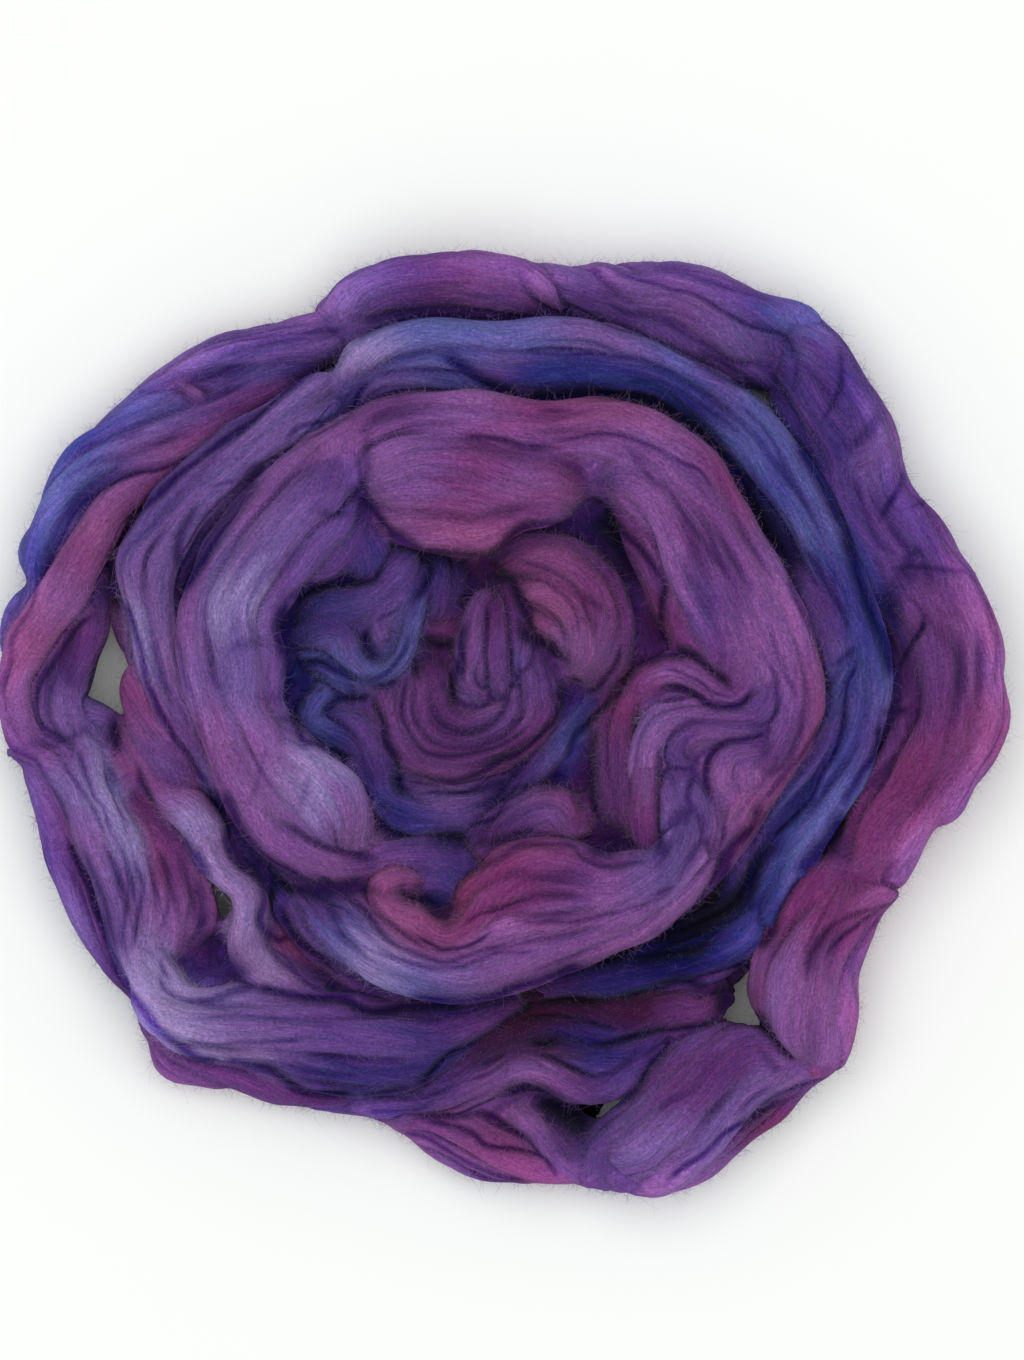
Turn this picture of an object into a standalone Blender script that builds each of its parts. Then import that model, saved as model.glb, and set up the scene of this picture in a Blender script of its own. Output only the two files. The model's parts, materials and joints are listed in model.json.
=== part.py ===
"""Wool roving: one length of combed wool laid in a loose spiral nest, as one solid.

The length is followed fold by fold.  A row of a fold says where its crest passes, how wide and
how high it stands there; the rows of each turn are kept in one table, in millimetres.
"""
import math

import bmesh
import bpy
import numpy as np

# ---- driving sizes, metres ----
NODE = "roving_nest"
MILLIMETRE = 0.001
NEST_LONG = 0.3025           # across, left to right
NEST_BROAD = 0.284           # across, the other way

# ---- how a fold is rounded ----
CAP_SHARE = 0.95             # rounding of a crest, as a share of the half width
CAP_HEIGHT_SHARE = 0.46      # the most of the height that rounding may take
FOLD_DEPTH = 3.4             # depth of a loose fold, in half widths
FOOT_SINK = 0.42             # share of the lower rounding that is pressed flat on the table
CROWN_STEPS = 10             # flats around a crest
SPAN_STEPS = 4               # rings between two rows

# ---- how the folds are felted together ----
FELT_GRAIN = 0.0018          # grain of the joined skin
SOFTEN_PASSES = 3
SOFTEN_SHARE = 0.5
SKIN_TRIANGLES = 10400
TRIM_DEPTH = 0.03            # depth of the block that trims the underside
TRIM_MARGIN = 0.05

# ---- the folds: rows of (x, y, half width, crest height), millimetres ----
FLOOR_FOLDS = {
    "floor ring": [(-50, 34, 16, 30), (-30, 52, 16, 32), (0, 58, 16, 32), (28, 56, 16, 32),
        (48, 38, 17, 34), (54, 14, 17, 34), (52, -12, 17, 34), (38, -34, 17, 33), (12, -44, 17, 32),
        (-16, -42, 16, 32), (-42, -30, 16, 31), (-56, -8, 16, 31), (-56, 16, 16, 30)],
    "floor heart": [(-52, 20, 16, 30), (-34, 26, 20, 29), (-14, 28, 22, 28), (4, 26, 22, 29),
        (16, 6, 20, 28), (8, -14, 20, 27), (-14, -16, 20, 27), (-36, -8, 18, 29)],
    "floor middle": [(-66, -44, 12, 24), (-84, -26, 12, 26), (-92, 0, 12, 27), (-94, 26, 12, 27),
        (-86, 50, 12, 27), (-68, 74, 13, 28), (-42, 92, 13, 28), (-10, 98, 13, 28), (20, 98, 13, 26),
        (46, 90, 13, 25), (68, 68, 13, 25), (82, 46, 13, 26), (92, 20, 13, 27), (92, -6, 13, 27),
        (80, -30, 13, 26), (60, -52, 13, 25), (34, -68, 13, 24), (4, -78, 13, 24), (-28, -78, 13, 25),
        (-52, -66, 12, 25)],
    "floor slot": [(38, -108, 4, 12), (46, -100, 5, 15), (54, -93, 5, 17), (63, -90, 4, 17)],
    "floor left": [(-84, -34, 4, 20), (-90, -22, 5, 22), (-99, -12, 6, 24), (-108, 0, 5, 24),
        (-112, 12, 3, 22)],
    "floor left low": [(-118, 44, 4, 18), (-116, 36, 3, 18)],
    "floor left seam": [(-117, -2, 4, 19), (-110, -14, 5, 20), (-101, -25, 5, 20), (-93, -37, 5, 20)],
    "floor pit": [(-99, -70, 5, 12), (-90, -73, 5, 12), (-80, -73, 5, 13)],
    "floor core": [(-18, 50, 14, 30), (-40, 46, 14, 30), (-60, 36, 12, 30), (-66, 20, 8, 32),
        (-64, 4, 8, 32)],
    "floor fan": [(38, -102, 5, 10), (31, -112, 6, 9), (24, -118, 7, 9), (12, -116, 6, 10),
        (-4, -116, 6, 12), (-16, -116, 5, 12)],
    "floor crumple": [(-72, -38, 5, 26), (-62, -46, 6, 26), (-54, -54, 6, 26), (-40, -48, 8, 28)],
}

OUTER_FOLDS = {
    "outer bed top": [(-50, 121.5, 9, 22), (-30, 127.5, 11, 26), (-8, 130, 11, 28), (11, 127.5, 10, 27),
        (32, 128, 10, 27), (52, 127, 11, 28), (70, 119, 11, 28), (84, 112, 10, 28)],
    "outer bed left": [(-50, 116, 8, 22), (-68, 112, 9, 24), (-85, 104, 12, 25), (-100.5, 90, 14, 25),
        (-115, 77, 14, 25), (-126, 65.5, 12, 25), (-132.5, 51.5, 11, 25), (-132.5, 38, 10, 25),
        (-140, 24, 9, 24), (-143, 10, 8, 24), (-139, -2, 9, 24), (-130, -11.5, 11, 24),
        (-122, -24, 14, 25), (-115, -38, 17, 25), (-111, -52, 17, 26), (-110.5, -65.5, 11, 26),
        (-102.5, -77.5, 10, 26), (-92, -89, 10, 27), (-74, -92, 11, 27), (-54, -95, 12, 27),
        (-34, -96, 11, 27), (-16, -93, 9, 26), (2, -86, 7, 25)],
    "outer bed right": [(84, 112, 9, 26), (94, 103.5, 12, 28), (102.5, 89.5, 12, 28),
        (107.5, 74, 12, 28), (114, 55, 13, 28), (123, 39.5, 15, 29), (130.5, 23.5, 15, 29),
        (133, 6, 15, 29), (129, -7, 15, 29), (118.5, -17.5, 15, 29), (108.5, -34.5, 14, 29),
        (103.5, -45.5, 13, 29), (95, -58.5, 13, 30), (91, -72, 13, 30), (91.5, -86, 13, 30),
        (92, -97, 10, 28)],
    "outer bed bottom": [(90, -100, 8, 26), (78, -102, 10, 27), (66, -108, 12, 28), (54, -119, 13, 28),
        (41.5, -127, 12, 27), (32, -132.5, 8, 22), (14.5, -129, 7, 15), (-2, -126, 8, 14),
        (-19, -121, 6, 14), (-33, -116, 5, 15)],
    "left foot": [(-140.5, -11, 5, 20), (-130.5, -30, 7, 22), (-126.5, -42.5, 8, 23),
        (-117.5, -60.5, 8, 22), (-106.5, -77.5, 7, 20), (-98.5, -96, 8, 17), (-87, -99, 7, 17),
        (-65, -106, 7, 18), (-46, -109.5, 6, 18), (-26, -113, 6, 18), (-8, -106, 6, 20),
        (8, -101, 7, 21), (24, -101, 8, 21), (38, -97, 7, 21), (50, -86, 7, 21)],
    "top crest": [(-54, 126, 4, 26), (-49, 127, 7, 31), (-35.5, 132, 8, 34), (-18, 134, 8, 36),
        (-6, 134, 8, 37), (4, 132, 8, 37), (12, 129, 6, 34), (18, 124, 3, 30)],
    "top under": [(-57.5, 118.5, 6, 26), (-44, 121, 6, 29), (-30, 124, 6, 31), (-12, 126, 7, 32),
        (2, 125, 6, 31), (13, 123, 4, 28)],
    "top ridge two": [(6, 137.5, 3, 31), (14, 134.5, 4, 33), (26, 130, 5, 34), (38, 125, 5, 34),
        (50, 119, 5, 34), (60, 112, 4, 33), (67, 106, 3, 30)],
    "top lilac pleat": [(21.5, 137, 3, 28), (29.5, 135.5, 4, 33), (40, 131, 5, 35), (52, 128, 6, 36),
        (63, 122, 6, 36), (71, 116, 6, 36), (78, 113, 5, 34)],
    "top blue pleat": [(32.5, 143.5, 3, 25), (39, 134, 4, 31), (52, 134, 5, 33), (64, 130, 5, 34),
        (76, 124, 6, 34), (86, 122, 5, 34)],
    "top low pleat": [(42, 124, 4, 31), (54, 118, 4, 32), (64, 110, 5, 32), (74, 106, 4, 30),
        (82, 103, 3, 28)],
    "left plum rim": [(-50, 123, 4, 23), (-63.5, 119, 4, 25), (-80.5, 115, 4, 25), (-91, 109.5, 5, 25),
        (-103.5, 101.5, 5, 24), (-115, 90.5, 5, 22), (-126, 85.5, 4, 19)],
    "left plum pleat": [(-46, 116, 5, 27), (-62, 115, 5, 29), (-78, 112, 5, 30), (-92, 106, 5, 30),
        (-106, 99, 4, 28), (-116, 92, 4, 26)],
    "left blue pleat": [(-48, 110, 4, 25), (-62, 108, 4, 27), (-76, 106, 5, 29), (-88, 102, 6, 31),
        (-102, 96, 6, 31), (-116, 88, 5, 30), (-127, 81, 5, 29), (-133, 71, 5, 27),
        (-137.5, 60.5, 4, 26), (-142.5, 51.5, 4, 25), (-140.5, 42.5, 3, 25), (-147, 33, 3, 24),
        (-150, 23, 3, 23)],
    "left violet pleat": [(-60, 103, 4, 28), (-74, 99, 5, 31), (-88, 93, 5, 33), (-102, 88, 5, 33),
        (-114, 83, 5, 33), (-124, 77, 5, 33), (-132, 69, 5, 32), (-138, 60, 4, 31), (-141, 51, 4, 30),
        (-140.5, 43, 3, 29), (-143.5, 31.5, 3, 28), (-149, 22, 2, 27)],
    "left magenta band": [(-84, 85, 4, 27), (-96, 79, 5, 32), (-108, 73, 6, 34), (-118, 66, 6, 35),
        (-124, 56, 6, 35), (-129, 47, 6, 35), (-134, 39, 6, 35), (-140, 31, 6, 34), (-145, 22, 5, 34),
        (-148, 12, 4, 33), (-147, 3, 4, 32), (-141, -5, 3, 31), (-134, -9, 3, 31)],
    "left magenta inner": [(-108, 67, 3, 28), (-117, 60, 4, 29), (-121, 51, 4, 30), (-123, 43, 5, 30),
        (-119, 38, 4, 27)],
    "stretch over gap": [(-120, 38, 4, 26), (-125, 32, 6, 28), (-130.5, 23, 7.5, 29),
        (-134.5, 14, 7.5, 30), (-134, 5, 7, 31), (-129, 0, 6, 32), (-124, -3, 4, 33)],
    "gap lower lip": [(-131, 7, 3, 27), (-125, 5, 3, 29), (-120, 3, 3, 29), (-118, -3, 3, 27),
        (-120, -9, 4, 24)],
    "thin bright ridge": [(-127, 1, 3, 31), (-126, -7, 4, 33), (-124, -16, 4, 34), (-119, -25, 4, 34),
        (-114, -34, 4, 35), (-111, -44, 4, 36), (-109, -54, 4, 36), (-108, -64, 5, 37)],
    "left lilac pleat": [(-150, 4, 3, 29), (-146, -4, 3, 30), (-138, -9, 3, 31), (-131, -15, 4, 32),
        (-128, -24, 4, 33), (-124, -34, 4, 34), (-119, -46, 4, 35), (-116, -58, 4, 35),
        (-114, -68, 4, 35), (-109, -78, 4, 36)],
    "left dark pleat": [(-148, -6, 3, 26), (-140.5, -12, 4, 28), (-135, -20, 4, 30), (-131, -32, 5, 31),
        (-126, -44, 5, 32), (-121, -56, 5, 32), (-117, -67, 4, 31), (-112, -77, 4, 30), (-105, -86, 3, 29)],
    "left edge strand": [(-150, -8, 3, 20), (-140.5, -11, 5, 23), (-134, -30.5, 6, 25),
        (-132, -39, 6, 26), (-127, -50.5, 6, 25), (-121.5, -62.5, 5, 24), (-115.5, -72.5, 5, 22),
        (-108.5, -81.5, 4, 20), (-103.5, -93.5, 5, 18), (-100, -100, 6, 17), (-91, -103, 5, 17),
        (-80, -103.5, 5, 17), (-69, -108.5, 5, 17), (-56, -112, 4, 17), (-43, -114, 4, 16),
        (-33.5, -119, 3, 15)],
    "left edge inner": [(-111, -81.5, 3, 22), (-105, -89, 4, 21), (-98, -96, 5, 20), (-86, -101, 5, 20),
        (-74, -106, 5, 20), (-60, -111, 4, 20), (-46, -112, 4, 20), (-32, -111, 4, 22)],
    "magenta pleat outer": [(-119, -12, 4, 25), (-115, -20, 5, 27), (-107, -28, 5, 29),
        (-99, -36, 5, 31), (-94, -46, 5, 32), (-92, -56, 5, 31), (-95, -65, 4, 28), (-99, -71, 3, 25)],
    "magenta pleat inner": [(-117, -22, 4, 28), (-111, -31, 4, 31), (-106, -41, 4, 33),
        (-103, -52, 4, 34), (-101, -62, 4, 33), (-101, -71, 4, 30)],
    "pit wall": [(-102, -72, 4, 24), (-97, -77, 4, 25), (-88, -79, 4, 24), (-78, -78, 4, 23)],
    "pit floor": [(-92, -66, 6, 12), (-84, -68, 6, 12), (-76, -66, 5, 14)],
    "lilac upper": [(-106, -62, 4, 35), (-104, -72, 5, 36), (-99, -81, 5, 37), (-90, -85, 5, 37),
        (-78, -83, 5, 37), (-64, -84, 5, 36), (-48, -86, 5, 35), (-32, -88, 6, 34), (-14, -86, 5, 33),
        (4, -81, 4, 31)],
    "lilac middle": [(-110, -72, 4, 36), (-107, -81, 5, 38), (-98, -88, 6, 40), (-84, -90, 6, 40),
        (-68, -90, 6, 40), (-52, -92, 6, 39), (-36, -93, 6, 38), (-22, -93, 5, 36), (-8, -88, 4, 33),
        (4, -84, 3, 31)],
    "lilac lower": [(-106, -86, 3, 35), (-97, -93, 4, 37), (-84, -96, 4, 37), (-70, -97, 5, 37),
        (-56, -100, 6, 36), (-42, -102, 5, 36), (-30, -102, 5, 35), (-18, -98, 4, 33), (-8, -92, 3, 31)],
    "flap upper": [(-109, 20, 2, 32), (-111, 14, 4, 34), (-109, 5, 5, 36), (-104, -5, 6, 37),
        (-97, -13, 6, 37), (-90, -19, 4, 35)],
    "flap lower": [(-114, 2, 3, 30), (-112, -6, 4, 32), (-108, -12, 4, 33), (-103, -16, 4, 34),
        (-96, -19, 4, 35)],
    "cord": [(-107, -14, 3, 32), (-102, -19, 5, 34), (-95, -24, 5, 36), (-90, -30, 5, 37),
        (-87, -38, 5, 38), (-83, -44, 6, 38), (-78, -49, 5, 38), (-77, -57, 5, 37), (-78, -65, 5, 36),
        (-74, -72, 5, 35), (-66, -76, 5, 34), (-56, -79, 4, 32), (-46, -80, 3, 29)],
    "under cord dark": [(-84, -26, 3, 26), (-81, -34, 3, 26), (-76, -41, 4, 27), (-72, -50, 4, 28),
        (-70, -60, 4, 29), (-65, -67, 4, 29), (-57, -73, 4, 28), (-48, -78, 3, 26)],
    "right rim": [(90.5, 124, 4, 27), (97, 114.5, 5, 28), (102.5, 105, 5, 28), (109, 95, 5, 29),
        (114.5, 87.5, 4, 29), (115.5, 75.5, 5, 29), (119, 69.5, 5, 29), (128, 56.5, 4, 29),
        (136.5, 45.5, 4, 29), (140, 37, 4, 30), (144.5, 25.5, 4, 30), (146, 14, 4, 30),
        (147.5, 3, 3, 29), (144.5, -6, 4, 30), (138, -16, 4, 30), (130.5, -25.5, 4, 29),
        (126, -30.5, 4, 28)],
    "right outer body": [(86, 121, 4, 31), (93, 113, 5, 33), (100, 103, 6, 34), (107, 93, 6, 35),
        (111, 82, 6, 35), (114, 70, 6, 35), (121, 60, 6, 35), (128, 50, 6, 35), (135, 39, 6, 36),
        (140, 27, 6, 36), (141, 14, 6, 36), (141, 3, 5, 34), (139, -8, 6, 36), (132.5, -19, 6, 36),
        (123, -27.5, 6, 36), (118, -39, 5, 35), (117, -47, 4, 33)],
    "right inner body": [(83, 115, 4, 30), (88, 106, 5, 33), (94, 95, 5, 35), (100, 84, 6, 35),
        (104, 73, 5, 35), (110, 62, 5, 35), (117, 51, 6, 35), (124, 40, 7, 36), (130, 28, 7, 37),
        (132, 15, 7, 37), (131, 3, 6, 34), (127, -8, 7, 37), (121, -19, 7, 37), (114, -29, 7, 37),
        (110, -39, 6, 36), (106, -46, 6, 35)],
    "right blue pleat": [(83, 106, 3, 28), (86, 96, 4, 30), (90, 86, 4, 31), (94, 78, 4, 32),
        (99, 68, 4, 33), (105, 57, 4, 33), (111, 46, 4, 33), (116, 35, 4, 32), (121, 24, 4, 32),
        (123, 13, 4, 31), (122, 4, 4, 30), (118, -7, 5, 33), (112, -17, 5, 34), (107, -26, 4, 34),
        (105, -34, 4, 33), (99, -41, 4, 32)],
    "hip bulge": [(110, -48, 7, 36), (102, -55, 8, 38), (94, -65, 9, 39), (89, -76, 10, 40),
        (90, -87, 9, 39), (95, -96, 6, 35), (98.5, -103, 3, 28)],
    "hip inner": [(98, -46, 5, 34), (90, -54, 5, 35), (84, -63, 4, 35), (80, -73, 4, 35),
        (80, -83, 4, 34), (84, -91, 4, 31)],
    "hip outer": [(119, -50, 2, 27), (109.5, -55.5, 4, 30), (105, -62.5, 5, 32), (100.5, -74, 5, 33),
        (101, -85, 5, 32), (100.5, -94, 4, 29), (99.5, -103.5, 2, 25)],
    "bottom body": [(92, -101, 3, 28), (82, -99, 5, 32), (72, -97, 7, 34), (63, -103, 8, 36),
        (55, -111, 9, 37), (47, -119, 9, 37), (39, -127, 8, 35), (31, -134, 6, 30)],
    "bottom upper": [(72, -91, 4, 30), (61, -95, 4, 32), (53, -101, 4, 33), (46, -108, 4, 33),
        (40, -115, 4, 32), (33, -121, 4, 31), (27, -127, 4, 29), (25, -134, 4, 24)],
    "bottom ridge": [(90, -104, 2, 28), (82, -106, 4, 32), (73, -110, 4, 34), (65, -118, 5, 35),
        (57, -127, 5, 34), (48, -135, 4, 29), (38, -139, 3, 22)],
    "bottom crimson": [(98.5, -103.5, 2, 18), (87, -108.5, 4, 21), (80, -116, 4, 23),
        (70.5, -123, 4, 23), (62.5, -129.5, 4, 22), (54, -135, 3, 20), (42.5, -138.5, 3, 17)],
    "bulb": [(36, -132, 7, 30), (32, -136, 6, 26), (29.5, -139, 3, 18)],
    "fan ridge": [(22, -136, 2, 21), (16, -129, 3, 24), (10, -122, 3, 26), (5, -117, 3, 26),
        (1, -114, 3, 23)],
    "fan rose": [(20, -137, 2, 20), (9, -133, 4, 23), (-3, -127, 4, 24), (-14, -121, 4, 24),
        (-26, -118, 3, 22), (-39.5, -118, 2, 18)],
    "fan light": [(19, -137, 2, 18), (4, -134, 3, 20), (-10, -129, 3, 21), (-22, -124, 3, 20),
        (-33.5, -120, 2, 18)],
    "fan rim": [(10, -136.5, 2, 13), (-1.5, -134, 3, 14), (-11.5, -132, 3, 15), (-20.5, -126, 3, 15),
        (-31, -120.5, 3, 14)],
    "fan indigo": [(23, -131, 3, 22), (18, -123, 4, 22), (13, -116, 4, 21), (6, -112, 4, 18)],
    "fan floor": [(30, -117, 5, 9), (20, -114, 6, 9), (8, -113, 5, 10), (-4, -117, 5, 12)],
    "maroon band": [(-4, -87, 3, 24), (8, -84, 4, 26), (22, -84, 5, 26), (36, -87, 4, 26),
        (46, -83, 4, 27), (55, -83, 5, 29), (62, -85, 4, 27)],
    "wave top": [(-42, -111, 3, 24), (-28, -109, 3, 26), (-16, -102, 3, 27), (-6, -96, 3, 28),
        (3, -91, 3, 29), (13, -90, 4, 29), (24, -93, 4, 28), (34, -94, 3, 27), (43, -91, 3, 26)],
    "wave indigo": [(-30, -112, 3, 27), (-16, -107, 3, 28), (-4, -100, 4, 29), (6, -96, 3, 30),
        (16, -97, 4, 30), (26, -100, 5, 29), (36, -99, 4, 29), (44, -95, 3, 28)],
    "wave rose": [(-46, -114, 3, 25), (-30, -114, 3, 27), (-16, -111, 3, 28), (-5, -106, 3, 30),
        (4, -102, 4, 31), (12, -103, 4, 31), (20, -108, 4, 30), (28, -109, 3, 29), (37, -105, 4, 29),
        (44, -99, 3, 29), (49, -93, 2, 27)],
    "gap three cheek": [(84, -60, 3, 28), (79, -68, 3, 29), (78, -78, 3, 30), (80, -87, 3, 29),
        (84, -94, 3, 27)],
    "tuft bed": [(40, -90, 5, 22), (52, -87, 6, 23), (61, -86, 5, 23)],
    "gap three left": [(76, -66, 3, 22), (70, -72, 4, 22), (66, -79, 3, 20)],
}

MIDDLE_FOLDS = {
    "middle bed": [(2, -84, 6, 24), (20, -80, 7, 24), (40, -76, 7, 25), (58, -70, 8, 26),
        (72, -60, 9, 28), (80, -45, 10, 29), (88, -28, 11, 30), (98, -10, 11, 31), (104, 6, 10, 31),
        (103, 24, 9, 31), (97, 42, 9, 31), (88, 58, 9, 31), (78, 74, 9, 32), (64, 90, 10, 33),
        (48, 101, 10, 35), (28, 108, 11, 36), (8, 109, 11, 37), (-14, 109, 10, 38), (-32, 106, 10, 38),
        (-46, 99, 10, 36), (-62, 92, 10, 35), (-78, 80, 10, 34), (-92, 66, 10, 33), (-102, 52, 9, 32),
        (-104, 38, 7, 32), (-102, 22, 6, 32), (-98, 8, 6, 31), (-92, -4, 5, 31), (-86, -16, 5, 30)],
    "middle crest": [(-50, 105, 4, 41), (-41, 111, 5, 45), (-29, 116, 6, 47), (-16, 117, 5, 47),
        (-2, 117, 4, 46), (10, 118, 4, 46), (24, 118, 4, 46), (38, 114, 4, 45), (50, 109, 4, 44),
        (62, 103, 4, 43), (72, 96, 4, 42), (82, 85, 4, 41), (91, 72, 4, 40), (98, 58, 4, 40),
        (104, 44, 4, 39), (109, 30, 4, 39), (112, 14, 4, 39), (110, 1, 4, 39), (106, -11, 4, 39),
        (99, -22, 4, 39), (92, -33, 4, 38), (87, -43, 4, 37), (83, -52, 4, 35), (77, -62, 3, 33)],
    "middle second": [(-44, 104, 5, 44), (-34, 110, 5, 45), (-22, 112, 5, 46), (-12, 111, 4, 46),
        (-2, 108, 5, 45), (10, 107, 6, 44), (24, 107, 6, 44), (38, 107, 5, 44), (50, 103, 5, 43),
        (61, 95, 5, 42), (71, 86, 5, 41), (80, 75, 4, 40), (88, 64, 4, 40), (95, 51, 4, 39),
        (101, 37, 4, 39), (105, 24, 4, 39), (106, 12, 4, 39), (104, -1, 4, 39), (99, -12, 4, 38),
        (93, -23, 4, 37), (86, -34, 4, 36), (81, -44, 4, 35), (76, -53, 4, 33)],
    "middle sub ridge": [(-47, 97, 4, 41), (-38, 103, 4, 43), (-28, 106, 4, 44), (-17, 105, 4, 43),
        (-8, 102, 4, 42), (2, 100, 4, 40), (14, 100, 5, 39), (28, 101, 5, 38), (42, 99, 5, 38),
        (54, 91, 5, 37), (64, 82, 5, 36), (72, 72, 5, 36), (80, 61, 4, 36), (87, 51, 4, 36)],
    "left violet outer": [(-52, 104, 4, 42), (-62, 98, 4, 42), (-74, 90, 5, 42), (-86, 82, 5, 42),
        (-97, 73, 5, 41), (-106, 62, 5, 40), (-112, 52, 4, 39), (-112, 44, 4, 39), (-109, 34, 4, 39),
        (-107, 22, 4, 39), (-104, 10, 4, 39), (-99, 0, 4, 38), (-93, -9, 4, 37), (-88, -18, 3, 35),
        (-83, -26, 3, 32)],
    "left violet inner": [(-54, 97, 5, 41), (-66, 90, 5, 41), (-78, 81, 5, 41), (-89, 71, 5, 40),
        (-97, 60, 5, 39), (-103, 49, 4, 39), (-104, 38, 4, 39), (-102, 26, 4, 39), (-99, 14, 4, 39),
        (-95, 3, 4, 38), (-90, -8, 3, 37)],
    "left dark inner": [(-52, 91, 4, 39), (-62, 87, 4, 38), (-73, 79, 4, 37), (-83, 69, 4, 36),
        (-90, 59, 4, 35), (-95, 49, 3, 34), (-99, 41, 3, 34), (-100, 32, 3, 35), (-97, 22, 3, 35),
        (-94, 10, 3, 35)],
    "gap right wall": [(-119, 41, 3, 24), (-115, 34, 3, 27), (-113, 26, 3, 28), (-111, 18, 3, 28)],
    "right violet strand": [(82, 51, 4, 33), (88, 43, 4, 37), (93, 33, 5, 39), (98, 22, 5, 41),
        (99, 10, 4, 40), (94, -2, 5, 39), (88, -11, 5, 39), (81, -19, 5, 38), (75, -28, 4, 37),
        (70, -38, 4, 35), (67, -47, 4, 32), (62, -55, 3, 28)],
    "right indigo strand": [(89, 50, 3, 34), (95, 40, 4, 37), (100, 30, 4, 38), (103, 20, 3, 38),
        (102, 8, 3, 36), (99, -4, 3, 36), (94, -15, 4, 36), (87, -24, 4, 35), (80, -33, 4, 34),
        (74, -42, 4, 32), (68, -51, 4, 30), (60, -59, 4, 28)],
    "blue low right": [(80, -54, 5, 33), (73, -62, 5, 33), (63, -67, 5, 32), (52, -71, 5, 31),
        (40, -74, 4, 30), (28, -76, 4, 29), (16, -78, 4, 27), (6, -82, 3, 26)],
    "blue low dark": [(74, -44, 5, 30), (68, -54, 5, 30), (58, -61, 5, 28), (46, -66, 5, 27),
        (34, -71, 4, 27), (22, -75, 3, 26)],
}

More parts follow.
